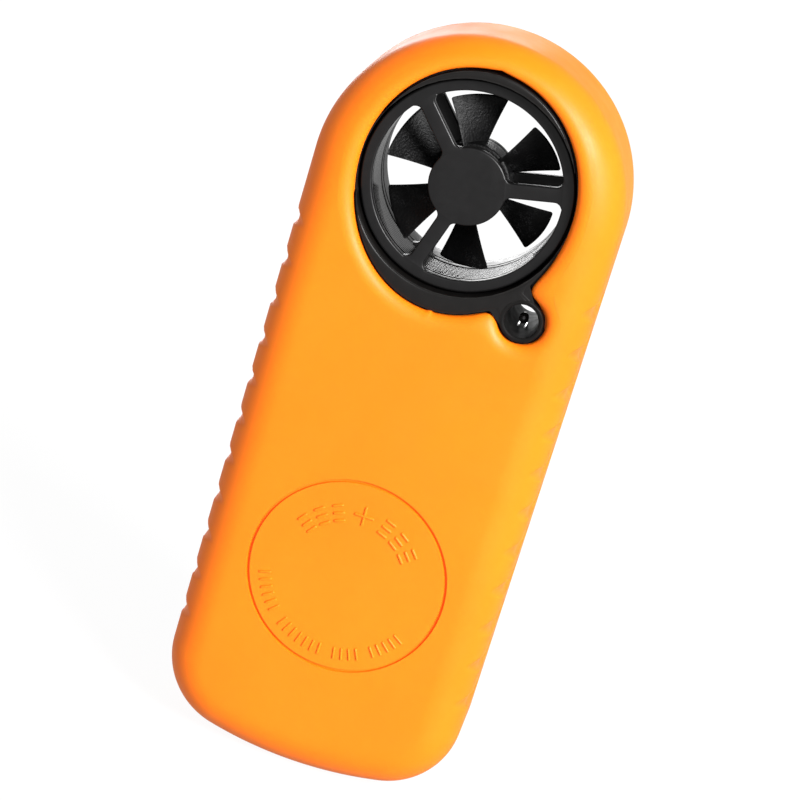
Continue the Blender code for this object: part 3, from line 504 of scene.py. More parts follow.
def lip_rings():
    """Over the display-side lip and back under it, then along the inside towards the opening."""
    corners = [
        (LIP_WIDTH - 0.1 * MM, FRONT + 0.02 * MM), (LIP_WIDTH, FRONT + 0.15 * MM),
        (LIP_WIDTH, FRONT + 1.3 * MM), (LIP_WIDTH - 0.3 * MM, FRONT + 1.6 * MM),
        (SIDE_WALL + 1.1 * MM, FRONT + 1.6 * MM), (SIDE_WALL, FRONT + 2.7 * MM),
        (SIDE_WALL, 0.0), (SIDE_WALL, SIDE_TOP), (SIDE_WALL + 1.0 * MM, BACK - 3.1 * MM),
    ]
    return [ring(rim(inset), depth) for inset, depth in corners]


print("back rounding", BACK_ROUND)

# %% [markdown]
# Eleven oval scoops run down each side, for grip. Each has a flat floor and steep ends, the lower one
# steeper, and they wrap a little way round onto the back. They are pushed into the finished grid: the
# depth at a point is a low power of how deep it lies inside an oval whose upper half is the longer.

# %% Grip scoops
SCOOP_COUNT = 11
SCOOP_PITCH = 5.5 * MM
SCOOP_TOP = HEAD[1] - 11.0 * MM
SCOOP_DEPTH = 0.6 * MM
SCOOP_UPPER = 1.75 * MM
SCOOP_LOWER = 1.15 * MM
SCOOP_MIDDLE = 0.8 * MM
SCOOP_REACH = 6.3 * MM


def press_scoops(points):
    """Move the side's points inwards where an oval scoop lies."""
    x, y, z = points.T
    number = np.clip(np.round((SCOOP_TOP - z) / SCOOP_PITCH), 0, SCOOP_COUNT - 1)
    height = z - (SCOOP_TOP - number * SCOOP_PITCH)
    along = np.where(height > 0, height / SCOOP_UPPER, height / SCOOP_LOWER)
    across = (y - SCOOP_MIDDLE) / SCOOP_REACH
    inside = np.clip(1 - along**2 - across**2, 0, 1)
    depth = SCOOP_DEPTH * inside**0.5 * (np.abs(x) > HALF_WIDTH - 1.6 * MM)
    moved = points.copy()
    moved[:, 0] -= np.sign(x) * depth
    return moved


# %% [markdown]
# The parting line of the mould leaves a small point at the top of the opening and a little flash at its
# bottom. The engraved circle is cut as a turned ring that follows the crowned back.

# %% Make the sleeve
RING_RADIUS = 12.9 * MM
RING_DEPTH = 0.38 * MM
RING_HALF_WIDTH = 0.24 * MM
POINT_HEIGHT, POINT_WIDTH = 0.28 * MM, 0.7 * MM
FLASH_HEIGHT, FLASH_WIDTH, FLASH_SHIFT = 0.3 * MM, 0.35 * MM, 0.1 * MM


def mould_marks(flat, strength):
    """Move the lip's points outwards into a point at the top, and inwards for a little flash below."""
    x, z = (flat - HEAD).T
    point = POINT_HEIGHT * np.exp(-np.abs(x) / POINT_WIDTH) * (z > 0)
    flash = FLASH_HEIGHT * np.exp(-(((x + FLASH_SHIFT) / FLASH_WIDTH) ** 2)) * (z < 0)
    return flat + SPREAD * ((point - flash) * strength)[:, None]


def make_sleeve():
    """One closed stack of rings, then the scoops, then the engraved circle."""
    wall, lip_end = mould_marks(opening(), 1.0), opening(OPENING_FALL)
    under = np.minimum(BACK - BACK_WALL, back_depth(wall) - OPENING_ROUND - 0.3 * MM)
    round_start = np.clip(inset_of(lip_end) - 0.05 * MM, 0.5 * MM, BACK_ROUND)
    rings = opening_rings(wall, under) + back_rings(lip_end, round_start)
    rings += side_rings(round_start) + lip_rings()
    inner = rim(np.minimum(BACK_ROUND, inset_of(wall) - 0.2 * MM))
    rings += [ring(inner + (wall - inner) * share, under) for share in (0.0, 0.35, 0.7)]
    points, quads, fans = skin(rings, closed=True)
    body = piece("sleeve_skin", (press_scoops(points), quads, fans), sharp=50)
    low, half = -RING_DEPTH, RING_HALF_WIDTH
    profile = [
        (RING_RADIUS - half, 1 * MM), (RING_RADIUS - half * 0.9, -0.08 * MM),
        (RING_RADIUS - half * 0.5, low), (RING_RADIUS + half * 0.5, low),
        (RING_RADIUS + half * 0.9, -0.08 * MM), (RING_RADIUS + half, 1 * MM),
    ]
    groove = np.array(circle_rings(profile, CELL, 192))
    groove[..., 1] += back_top(groove.reshape(-1, 3)).reshape(groove.shape[:2])
    return carve(body, piece("groove", skin(groove, closed=True)), sharp=50)


sleeve = make_sleeve()
print("sleeve faces", len(sleeve.data.polygons))

# %% [markdown]
# Inside the engraved circle the real sleeve has small raised lettering. Here a plain stand-in takes its
# place: a plus sign between two rows of short bars above, and groups of fine upright strokes below. Every
# stroke is a pill, a half-round bar with round ends, laid on the back.

# %% Raised strokes in the circle
STROKE_HALF = 0.21 * MM
STROKE_RISE = 0.2 * MM


def stadium(centre, angle, length, levels, base):
    """A low bar with round ends. Each level is (half-width, rise above the base, a depth function)."""
    left, left_out = arc((-length / 2, 0), 1.0, 90, 270, 8)
    right, right_out = arc((length / 2, 0), 1.0, 270, 450, 8)
    cores = np.vstack([left - left_out, right - right_out])
    outs = np.vstack([left_out, right_out])
    turn = math.radians(angle)
    spin = np.array([[math.cos(turn), math.sin(turn)], [-math.sin(turn), math.cos(turn)]])
    flats = [np.asarray(centre) + (cores + outs * half) @ spin for half, _ in levels]
    return skin([ring(flat, base(flat) + rise) for flat, (_, rise) in zip(flats, levels)])


def pill(centre, angle, length, half=STROKE_HALF):
    """A stroke on the back: its outline shrinks as it rises, its height a quarter turn's sine."""
    levels = [(half, -0.25 * MM), (half, 0.0)]
    levels += [(half * math.cos(a), STROKE_RISE * math.sin(a)) for a in (0.5, 1.0, 1.35)]
    return stadium(centre, angle, length, levels, back_top)


def on_circle(radius, angle):
    """A point on a circle about the cell, with angles read from the back: 90 is up."""
    turn = math.radians(angle)
    return CELL + radius * np.array([-math.cos(turn), math.sin(turn)])


def stroke_marks():
    """The plus sign, the upper bars and the lower groups of upright strokes."""
    marks = [pill(on_circle(8.6 * MM, 90), 0, 2.3 * MM), pill(on_circle(8.6 * MM, 90), 90, 2.3 * MM)]
    for side in (-1, 1):
        for number in range(3):
            angle = 90 + side * (22 + 15 * number)
            for radius in (7.6, 8.6, 9.6):
                place = on_circle(radius * MM, angle)
                marks.append(pill(place, 90 - angle, 1.15 * MM))
    angle = 196.0
    for count in (6, 7, 4, 5):
        for _ in range(count):
            place = on_circle(10.6 * MM, angle)
            marks.append(pill(place, -angle, 1.35 * MM, STROKE_HALF * 0.8))
            angle += 5.4
        angle += 5.6
    return together(marks)


marks = piece("sleeve_marks", stroke_marks())
print("strokes", len(marks.data.vertices) // 82)

# %% [markdown]
# ## The black ledge and the sensor bore
# Inside the opening the rear shell stands up as a ledge round the guard and the bore. The ledge is a plate
# a little smaller than the opening, with a soft edge. The guard's recess and the bore are carved from it
# with turned plugs. A moulded eyelet lines the bore and widens towards the display side.

# %% The ledge
LEDGE_TOP = 8.06 * MM
RECESS_RADIUS = CASSETTE_RADIUS + 0.27 * MM
LEDGE_ROUND = 0.42 * MM
LEDGE_FOOT = 6.0 * MM
LEDGE_EDGE = 0.35 * MM
LEDGE_GAP = 0.3 * MM
BORE_HOLE = [(2.5, 10), (2.5, 3)]


def make_ledge():
    """A plate with a soft edge, from which the guard's recess and the bore are carved."""
    centre, edge = along_rays(2 * MM), LEDGE_EDGE
    wall = opening(-LEDGE_GAP)
    stations = [(centre, LEDGE_FOOT), (wall, LEDGE_FOOT), (wall, LEDGE_TOP - edge)]
    stations += [
        (opening(-LEDGE_GAP - edge * (1 - cosine)), LEDGE_TOP - edge * (1 - sine))
        for sine, cosine in quarter(4)
    ]
    stations += [(centre, LEDGE_TOP)]
    body = piece("rear_ledge", skin([ring(flat, depth) for flat, depth in stations]))
    recess = [(RECESS_RADIUS, LEDGE_FOOT - MM), (RECESS_RADIUS, LEDGE_TOP - LEDGE_ROUND)]
    recess += [
        (RECESS_RADIUS + LEDGE_ROUND * (1 - cosine), LEDGE_TOP - LEDGE_ROUND * (1 - sine))
        for sine, cosine in quarter(6)
    ]
    recess += [(RECESS_RADIUS + LEDGE_ROUND, BACK + MM)]
    carve(body, piece("recess", skin(circle_rings(recess, HEAD, 200))))
    return level_flats(carve(body, piece("bore_cut", capped(BORE_HOLE, BORE))))


ledge = make_ledge()
EYELET = [(2.15, 8.12), (2.72, 8.12), (2.72, -7.5), (2.6, -7.5), (2.45, -5.5), (2.15, -2.0)]
EYELET_ROUNDS = [0.3, 0.1, 0.04, 0.04, 0.3, 0.3]
eyelet = piece("bore_eyelet", turned(EYELET, EYELET_ROUNDS, BORE, 64, 6))
print("ledge faces", len(ledge.data.polygons))

# %% [markdown]
# ## Guards
# Each guard is one moulding: an outer ring, a flat hub disc, a boss for the jewel and three spokes. Ring,
# disc and boss are turned. A spoke is a rounded bar whose half-width flares into a quarter-round at both
# ends, where it meets the disc and the ring.

# %% Spokes
SPOKE_ANGLES = (12.6, 132.6, 252.6)
SPOKE_HALF = 0.95 * MM
DUCT_RADIUS = 12.0 * MM
HUB_RADIUS = 4.95 * MM
SPOKE_FLARE = 0.9 * MM
SPOKE_EDGE = 0.25 * MM


def fillet(reach, circle, side):
    """Extra half-width of a spoke near a circle about the axis: an arc that touches both.

    The arc's centre lies one fillet radius from the spoke's edge and from the circle; side is 1 where the
    spoke leaves the hub and -1 where it meets the ring.
    """
    away = circle + side * SPOKE_FLARE
    centre = math.sqrt(away**2 - (SPOKE_HALF + SPOKE_FLARE) ** 2)
    touch = abs(centre - centre * circle / away)
    step = np.clip(side * (centre - reach), 0, touch)
    return SPOKE_FLARE - np.sqrt(SPOKE_FLARE**2 - step**2)


def spoke(angle, low, high):
    """A bar from the hub to the ring whose section is a rectangle with rounded corners."""
    reach = np.linspace(HUB_RADIUS - 0.6 * MM, DUCT_RADIUS + 0.5 * MM, 90)
    half = SPOKE_HALF + fillet(reach, HUB_RADIUS, 1) + fillet(reach, DUCT_RADIUS, -1)
    turn = math.radians(angle)
    along, side = np.array([[-math.cos(turn), math.sin(turn)], [math.sin(turn), math.cos(turn)]])
    corner = np.radians(np.linspace(0, 90, 5))
    out, up = SPOKE_EDGE * (np.cos(corner) - 1), SPOKE_EDGE * (np.sin(corner) - 1)
    depth = np.concatenate([high + up, (high + up)[::-1], low - up, (low - up)[::-1]])
    rings = []
    for distance, width in zip(reach, half):
        edge = width + out
        across = np.concatenate([edge, -edge[::-1], -edge, edge[::-1]])
        rings.append(ring(HEAD + along * distance + across[:, None] * side, depth))
    return skin(rings)


# %% Make the guards
REAR_GUARD_SPAN, REAR_BOSS_SPAN = (5.4, 6.6), (5.0, 5.8)
FRONT_GUARD_SPAN, FRONT_BOSS_SPAN = (-1.9, -0.7), (-3.0, -1.5)
RING_ROUNDS = [0.25, 0.3, 0.2, 0.2]
HUB_EDGE = 0.25
BOSS_RADIUS = 2.8
BOSS_EDGE = 0.2


def make_guard(name, guard_span, boss_span):
    """Unite ring, hub disc, the jewel's boss and spokes. Both spans are depths in millimetres."""
    low, high = guard_span
    duct, outer, hub = DUCT_RADIUS / MM, CASSETTE_RADIUS / MM, HUB_RADIUS / MM
    corners = [(duct, high), (outer, high), (outer, low), (duct, low)]
    guard = piece(name, turned(corners, RING_ROUNDS, HEAD, 160))
    disc = [(0.4, low), (hub - HUB_EDGE, low), (hub, low + HUB_EDGE), (hub, high - HUB_EDGE)]
    disc += [
        (hub - HUB_EDGE * (1 - math.sin(turn)), high - HUB_EDGE * (1 - math.cos(turn)))
        for turn in (1.2, 0.8, 0.4, 0)
    ]
    disc += [(3.0, high), (1.0, high)]
    carve(guard, piece("hub", capped(disc, HEAD)), "UNION")
    foot, top = boss_span
    boss = [(0.4, foot), (BOSS_RADIUS - BOSS_EDGE, foot)]
    boss += [(BOSS_RADIUS, foot + BOSS_EDGE), (BOSS_RADIUS, top)]
    carve(guard, piece("boss", capped(boss, HEAD, 48)), "UNION")
    for angle in SPOKE_ANGLES:
        carve(guard, piece("spoke", spoke(angle, low * MM, high * MM)), "UNION")
    return level_flats(guard)


rear_guard = make_guard("rear_guard_moulding", REAR_GUARD_SPAN, REAR_BOSS_SPAN)
front_guard = make_guard("front_guard_moulding", FRONT_GUARD_SPAN, FRONT_BOSS_SPAN)
print("guard faces", len(rear_guard.data.polygons))

# %% [markdown]
# ## The display side
# The black face is the rest of the front shell: a tray inside the sleeve, a raised face with soft edges,
# and the bell mouth through which the wind enters. It is one closed skin again, from the tray's foot over
# the face into the mouth and back along the inside. The window's seat and the holes are cut afterwards
# with plugs whose rims flare, so that each hole's edge comes out rounded.

# %% The front shell's skin
FACE = -8.5 * MM
BORDER = -7.1 * MM
FACE_INSET = 3.7 * MM
FACE_ROUND = 0.7 * MM
MOUTH_RADIUS = 13.0 * MM
MOUTH_LIP = 0.22 * MM
FLARE_START = -3.0 * MM
SOCKET_RADIUS = 14.4 * MM
TRAY_INSET = 2.2 * MM
TRAY_ROUND = 1.2 * MM
TRAY_TOP = -5.9 * MM
PARTING = -0.15 * MM


def tray_rings():
    """The tray's wall inside the sleeve, its rounded edge, and the raised face's rounded edge."""
    rings = [ring(rim(TRAY_INSET), depth) for depth in (PARTING, -2.5 * MM, TRAY_TOP)]
    rings += [
        ring(rim(TRAY_INSET + TRAY_ROUND * (1 - cosine)), TRAY_TOP - TRAY_ROUND * sine)
        for sine, cosine in quarter(5)
    ]
    start = FACE + FACE_ROUND
    rings += [ring(rim(FACE_INSET), depth) for depth in (BORDER, start)]
    rings += [
        ring(rim(FACE_INSET + FACE_ROUND * (1 - cosine)), start - FACE_ROUND * sine)
        for sine, cosine in quarter(6)
    ]
    return rings


def mouth_rings():
    """Across the face to the mouth, round its lip, and down the bell to the duct's radius."""
    start = rim(FACE_INSET + FACE_ROUND)
    lip = head_circle(MOUTH_RADIUS + MOUTH_LIP)
    rings = [ring(start + (lip - start) * share, FACE) for share in (0.08, 0.3, 0.6, 0.85, 0.96, 1)]
    rings += [
        ring(head_circle(MOUTH_RADIUS + MOUTH_LIP * (1 - sine)), FACE + MOUTH_LIP * (1 - cosine))
        for sine, cosine in quarter(4)
    ]
    flare = MOUTH_RADIUS - DUCT_RADIUS
    depth = FACE + MOUTH_LIP - FLARE_START
    rings += [
        ring(head_circle(MOUTH_RADIUS - flare * sine), FLARE_START + depth * cosine)
        for sine, cosine in quarter(14)
    ]
    return rings


def inside_rings():
    """The seat of the guards, the socket's wall, and the inside of the tray."""
    seat = CASSETTE_RADIUS + 0.3 * MM
    corners = [(DUCT_RADIUS, -2.2), (seat, -2.2), (seat, -0.15), (SOCKET_RADIUS, -0.15)]
    rings = [ring(head_circle(reach), depth * MM) for reach, depth in corners]
    start = head_circle(SOCKET_RADIUS)
    end = rim(np.minimum(3.8 * MM, inset_of(start) - 0.1 * MM))
    rings += [ring(start + (end - start) * share, -5.5 * MM) for share in (0, 0.5, 1)]
    return rings + [ring(end, PARTING)]


print("mouth radius", MOUTH_RADIUS)

# %% Rounded plates


def rounded_core(width, height, radius, steps=10):
    """The corner centres of a rounded rectangle, each repeated, and the outward directions there."""
    centres = [(1, 1), (-1, 1), (-1, -1), (1, -1)]
    half = np.array([width / 2 - radius, height / 2 - radius])
    cores, outs = [], []
    for number, corner in enumerate(centres):
        angle = np.radians(np.linspace(90 * number, 90 * number + 90, steps + 1))
        cores.append(np.tile(half * corner, (steps + 1, 1)))
        outs.append(np.column_stack([np.cos(angle), np.sin(angle)]))
    return np.vstack(cores), np.vstack(outs)


def rounded_plate(centre, width, height, radius, levels, steps=10):
    """A stack of rounded rectangles: each level is (how far it grows, its depth)."""
    core, out = rounded_core(width, height, radius, steps)
    return skin([
        ring(np.asarray(centre) + core + (radius + grow) * out, depth) for grow, depth in levels
    ])


def soft_levels(low, high, round_low, round_high, steps=5):
    """Levels of a slab with rounded rims, from its low face to its high one."""
    turns = np.linspace(0, math.pi / 2, steps + 1)
    levels = [(-round_low * (1 - math.sin(t)), low + round_low * (1 - math.cos(t))) for t in turns]
    levels += [
        (-round_high * (1 - math.cos(t)), high - round_high * (1 - math.sin(t))) for t in turns
    ]
    return levels


def hole_levels(bottom, flare=0.25 * MM):
    """A plug that widens by a quarter-round as it comes out of the face."""
    turns = np.linspace(0, math.pi / 2, 6)
    levels = [(0.0, bottom)]
    levels += [(flare * (1 - math.cos(t)), FACE + flare * (1 - math.sin(t))) for t in turns]
    return levels + [(flare, FACE - MM)]


# %% Make the front shell
WINDOW_MIDDLE = np.array([0.0, span("display_window")[2][2]])
MODE_PLACE = span("mode_button")[2][[0, 2]]
SET_PLACE = span("set_button")[2][[0, 2]]
KEY_WIDTH, KEY_HEIGHT = 9.4 * MM, 6.0 * MM
GAP = 0.3 * MM
WINDOW_SIZE = (26 * MM, 22 * MM)
VIEW_SIZE = (21 * MM, 17 * MM)
BORE_TUBE = [(3.5, -0.15), (3.5, -6.0)]
BORE_BELL = [(2.76, 1.0), (2.76, -7.5), (2.85, -8.0), (3.0, -8.35), (3.2, -8.5), (3.2, -9.5)]


def make_front_shell():
    """The shell's closed skin with the bore's tube added, and the bore, window and key holes carved."""
    rings = tray_rings() + mouth_rings() + inside_rings()
    shell = piece("front_moulding", skin(rings, closed=True))
    carve(shell, piece("bore_tube", capped(BORE_TUBE, BORE, 64)), "UNION")
    carve(shell, piece("bore_plug", capped(BORE_BELL, BORE, 64)))
    seat = WINDOW_SIZE[0] + 0.5 * MM, WINDOW_SIZE[1] + 0.5 * MM
    plugs = [
        rounded_plate(WINDOW_MIDDLE, *seat, 2.25 * MM, hole_levels(-7.7 * MM, 0.2 * MM)),
        rounded_plate(WINDOW_MIDDLE, *VIEW_SIZE, 1.0 * MM, [(0, -8.2 * MM), (0, -5 * MM)]),
    ]
    for place in (MODE_PLACE, SET_PLACE):
        hole = rounded_plate(
            place, KEY_WIDTH + 2 * GAP, KEY_HEIGHT + 2 * GAP, KEY_HEIGHT / 2 + GAP, hole_levels(-5 * MM)
        )
        plugs.append(hole)
    for plug in plugs:
        carve(shell, piece("plug", plug))
    return level_flats(shell)


front_moulding = make_front_shell()
print("front shell faces", len(front_moulding.data.polygons))

# %% [markdown]
# The window is a clear slab with softly rounded rims. Behind it lies the display glass, whose dark
# segments are thin plates just proud of it: two large digits, a row of small ones and a rising row of bars,
# which is what a wind meter shows. A seven-segment digit is seven pointed bars; a mask says which are on.

# %% The display
GLASS_FRONT = span("lcd_glass")[0][1]
WINDOW_SLAB = soft_levels(-8.45 * MM, -8.0 * MM, 0.14 * MM, 0.05 * MM)
pane = rounded_plate(WINDOW_MIDDLE, *WINDOW_SIZE, 2 * MM, WINDOW_SLAB)
window = level_flats(piece("window_slab", pane, 50))
GLASS_SLAB = soft_levels(GLASS_FRONT, -4.9 * MM, 0.1 * MM, 0.1 * MM, 3)
GLASS_SIZE = (23.6 * MM, 19.6 * MM)
plate = rounded_plate(WINDOW_MIDDLE, *GLASS_SIZE, 0.5 * MM, GLASS_SLAB)
glass = level_flats(piece("display_glass", plate, 50))
SEGMENT_RISE = 0.03 * MM
SEGMENTS = {"1": "bc", "2": "abged", "4": "fgbc", "5": "afgcd", "6": "afgedc"}


def bar(start, end, half):
    """A flat bar with pointed ends between two points: six corners, as a thin closed plate."""
    start, end = np.asarray(start), np.asarray(end)
    along = (end - start) / np.linalg.norm(end - start)
    side = np.array([-along[1], along[0]]) * half
    tip = along * half
    outline = np.array([
        start, start + tip - side, end - tip - side, end, end - tip + side, start + tip + side,
    ])
    return skin([ring(outline, GLASS_FRONT + 0.01 * MM), ring(outline, GLASS_FRONT - SEGMENT_RISE)])


def digit(value, corner, width, height, half):
    """A digit's lit segments, from its lower left corner, leaning a little to the right."""
    x0, z0 = corner
    gap = half * 0.35
    spots = {
        "tl": (0, 2), "tr": (1, 2), "ml": (0, 1), "mr": (1, 1), "bl": (0, 0), "br": (1, 0),
    }
    ends = {
        "a": ("tl", "tr"), "b": ("tr", "mr"), "c": ("mr", "br"), "d": ("bl", "br"),
        "e": ("ml", "bl"), "f": ("tl", "ml"), "g": ("ml", "mr"),
    }
    bars = []
    for name in SEGMENTS[value]:
        places = []
        for spot in ends[name]:
            column, row = spots[spot]
            z = row * height / 2
            places.append(np.array([x0 + column * width + 0.1 * z, z0 + z]))
        along = (places[1] - places[0]) / np.linalg.norm(places[1] - places[0])
        bars.append(bar(places[0] + along * gap, places[1] - along * gap, half))
    return bars


def readout():
    """Large digits with a point, small digits below, and a rising row of bars."""
    x, z = WINDOW_MIDDLE
    bars = []
    for value, shift in (("4", -7.6), ("6", 1.2)):
        bars += digit(value, (x + shift * MM, z - 1.0 * MM), 3.9 * MM, 7.6 * MM, 0.5 * MM)
    bars.append(bar((x - 1.55 * MM, z - 0.9 * MM), (x - 0.45 * MM, z - 0.9 * MM), 0.5 * MM))
    for value, shift in (("2", -7.4), ("1", -4.9), ("5", -1.6)):
        bars += digit(value, (x + shift * MM, z - 6.9 * MM), 1.6 * MM, 3.4 * MM, 0.23 * MM)
    bars.append(bar((x - 2.5 * MM, z - 6.85 * MM), (x - 2.04 * MM, z - 6.85 * MM), 0.22 * MM))
    for number in range(8):
        left = x + (2.4 + 0.85 * number) * MM
        top = z + (-6.2 + 0.38 * number) * MM
        bars.append(bar((left, z - 7.0 * MM), (left, top), 0.28 * MM))
    return together(bars)


segments = piece("display_segments", readout(), 20)
print("segments", len(segments.data.polygons) // 18)

# %% [markdown]
# The two keys are stadium-shaped caps with domed tops. Each carries a raised sign: a ring on the one that
# changes the reading, and an arrow of two short bars on the one that sets it.

# %% The keys
KEY_TOP = -8.95 * MM
KEY_SHOULDER = -8.3 * MM
KEY_RIM = 0.45 * MM
KEY_DOME = 0.2 * MM


def key_levels():
    """Up the cap's side, round its rim and over a shallow dome, out to its middle line."""
    levels = [(0.7 * MM, -6.1 * MM), (0.7 * MM, -6.7 * MM), (0.02 * MM, -6.72 * MM), (0.0, KEY_SHOULDER)]
    levels += [(-KEY_RIM * (1 - cosine), KEY_SHOULDER - KEY_RIM * sine) for sine, cosine in quarter(6)]
    for share in (0.2, 0.4, 0.6, 0.8, 0.97):
        inset = KEY_RIM + (KEY_HEIGHT / 2 - KEY_RIM) * share
        levels.append((-inset, KEY_SHOULDER - KEY_RIM - KEY_DOME * math.sin(share * math.pi / 2)))
    return levels


def ring_sign(centre, radius, half=0.2 * MM):
    """A raised ring: a half-round profile turned about the key's middle."""
    profile = [(radius + half * math.cos(t), KEY_TOP - 0.09 * MM * math.sin(t)) for t in
               np.linspace(0, math.pi, 9)]
    profile += [(radius - half, KEY_TOP + 0.3 * MM), (radius + half, KEY_TOP + 0.3 * MM)]
    return skin(circle_rings(profile, centre, 40), closed=True)


def bar_sign(centre, angle, length, half=0.2 * MM):
    """A raised stroke on a key's top."""
    levels = [(half, 0.3 * MM), (half, 0.02 * MM), (half * 0.87, -0.04 * MM), (half * 0.5, -0.075 * MM)]
    return stadium(centre, angle, length, levels, lambda flat: KEY_TOP)


def make_key(name, place, signs):
    """A key's cap and the raised signs on it, as one piece."""
    cap = rounded_plate(place, KEY_WIDTH, KEY_HEIGHT, KEY_HEIGHT / 2, key_levels(), 14)
    return piece(name, together([cap] + signs))


mode_cap = make_key("mode_key_cap", MODE_PLACE, [ring_sign(MODE_PLACE, 1.05 * MM)])
arrow = [
    bar_sign(SET_PLACE + np.array([side * 0.5, 0.0]) * MM, -side * 40, 1.45 * MM) for side in (-1, 1)
]
set_cap = make_key("set_key_cap", SET_PLACE, arrow)
print("key faces", len(mode_cap.data.polygons))

# %% [markdown]
# ## Duct, rotor and sensor
# The duct between the guards is a polished ring with very fine circumferential ridges left by turning its
# mould, which catch the light as thin arcs. The rotor is a rounded cup with six thin blades. A blade is a
# piece of a helix: at each radius its depth rises in step with the angle. Its section is a slim ellipse
# that thins towards the tip, and the last few sections shrink to round its corners a little.

# %% The duct
RIDGE_PITCH = 0.62 * MM
RIDGE_DEPTH = 0.03 * MM


def make_duct():
    """The inner wall's radius is the duct's plus a cosine along the depth, and the outer wall is plain."""
    low, high = span("duct_ring")[0][1], span("duct_ring")[1][1]
    depth = np.linspace(high, low, 105)
    radius = DUCT_RADIUS + RIDGE_DEPTH * (1 + np.cos(2 * math.pi * (depth - low) / RIDGE_PITCH))
    outer = CASSETTE_RADIUS
    profile = list(zip(radius, depth)) + [(outer, low), (outer, high)]
    return piece("duct_lining", skin(circle_rings(profile, HEAD, 160), closed=True))


duct = make_duct()
print("duct faces", len(duct.data.polygons))

# %% The rotor
BLADE_FIRST = 41.0
BLADE_ROOT = 4.6 * MM
BLADE_MIDDLE = 2.45 * MM
BLADE_RISE = 1.85 * MM
BLADE_CAMBER = 0.15 * MM
BLADE_HALF_SPAN = 15.0
BLADE_SPREAD = 3.0
BLADE_HALF_THICK = 0.36 * MM
BLADE_THINNING = 0.12 * MM
TIP_ROUND = 0.3 * MM
TIP_STEPS = np.array([0.6, 0.25, 0.06, 0.0])
CUP = [
    (1.0, 3.9), (5.05, 3.9), (5.05, -0.1), (4.25, -0.1), (4.25, 2.6), (1.9, 2.6), (1.9, 0.9), (1.0, 0.9),
]
CUP_ROUNDS = [0.15, 0.45, 0.12, 0.1, 0.2, 0.2, 0.1, 0.1]


def blade(angle):
    """One blade, rings from root to tip; each ring is a slim section wrapped along an arc."""
    straight_part = np.linspace(BLADE_ROOT, TIP_RADIUS - TIP_ROUND, 16)
    reach = np.append(straight_part, TIP_RADIUS - TIP_ROUND * TIP_STEPS)
    around = np.linspace(0, 2 * math.pi, 44, endpoint=False)
    along, thick = np.cos(around), np.sin(around)
    rings = []
    for radius in reach:
        out = (radius - BLADE_ROOT) / (TIP_RADIUS - BLADE_ROOT)
        past = max((radius - TIP_RADIUS + TIP_ROUND) / TIP_ROUND, 0)
        end = math.sqrt(1 - min(past, 0.995) ** 2)
        corner = TIP_ROUND * (1 - end) / radius
        half_span = math.radians(BLADE_HALF_SPAN + BLADE_SPREAD * out) - corner
        turn = np.radians(angle) + half_span * along
        half_thick = (BLADE_HALF_THICK - BLADE_THINNING * out) * (0.2 + 0.8 * end)
        camber = BLADE_CAMBER * (1 - along**2)
        depth = BLADE_MIDDLE + BLADE_RISE * along + half_thick * thick - camber
        flat = HEAD + radius * np.column_stack([-np.cos(turn), np.sin(turn)])
        rings.append(ring(flat, depth))
    return skin(rings)


def make_rotor():
    """The cup, a softened profile turned about the axis, united with six blades."""
    made = piece("rotor_moulding", turned(CUP, CUP_ROUNDS, HEAD, 96, 6))
    for number in range(6):
        carve(made, piece("blade", blade(BLADE_FIRST + 60 * number)), "UNION", 35)
    return made


rotor = make_rotor()
print("rotor faces", len(rotor.data.polygons))

# %% The sensor bead
BEAD_HALF_WIDTH = 0.62 * MM
BEAD_HALF_HEIGHT = 0.75 * MM
BEAD_STEPS = 40


def make_bead():
    """A drop of glass: an ellipse turned about the upright line through the bead's middle."""
    circle = arc((0, 0), BEAD_HALF_WIDTH, 0, 360, BEAD_STEPS)[0]
    rings = []
    for turn in np.linspace(0.08, math.pi - 0.08, 22):
        height = np.full(BEAD_STEPS, BEAD_HALF_HEIGHT * math.cos(turn))
        rings.append(BEAD_MIDDLE + np.column_stack([circle * math.sin(turn), height]))
    return piece("sensor_bead", skin(rings), 60)


bead = make_bead()
print("bead faces", len(bead.data.polygons))

# %% [markdown]
# ## Finishes
# Four shader groups do the shared work. "tone" mixes two colours by slow noise, "grain" is the fine
# moulded texture as a height, "worn_edges" compares a rounded normal with the true one to find edges, and
# the speck group picks out scattered fine points, which are real spots on the board and painted glints on
# the rotor. Each reads Object coordinates, so a pattern stays on its piece.

# %% Shader groups


def new_group(name, inputs, outputs):
    """An empty shader group with float or colour inputs, and its input and output nodes."""
    tree = bpy.data.node_groups.new(name, "ShaderNodeTree")
    for label, value in inputs.items():
        kind = "NodeSocketColor" if isinstance(value, tuple) else "NodeSocketFloat"
        tree.interface.new_socket(label, in_out="INPUT", socket_type=kind).default_value = value
    for label, kind in outputs.items():
        tree.interface.new_socket(label, in_out="OUTPUT", socket_type=kind)
    return tree, tree.nodes.new("NodeGroupInput"), tree.nodes.new("NodeGroupOutput")


def noise(tree, scale, detail=3.0, stretch=(1, 1, 1)):
    """Noise on Object coordinates; scale is a number or a socket, in features per metre."""
    place = tree.nodes.new("ShaderNodeTexCoord")
    mapping = tree.nodes.new("ShaderNodeMapping")
    mapping.inputs["Scale"].default_value = stretch
    texture = tree.nodes.new("ShaderNodeTexNoise")
    texture.inputs["Detail"].default_value = detail
    tree.links.new(place.outputs["Object"], mapping.inputs["Vector"])
    tree.links.new(mapping.outputs["Vector"], texture.inputs["Vector"])
    if isinstance(scale, (int, float)):
        texture.inputs["Scale"].default_value = scale
    else:
        tree.links.new(scale, texture.inputs["Scale"])
    return texture.outputs["Fac"]


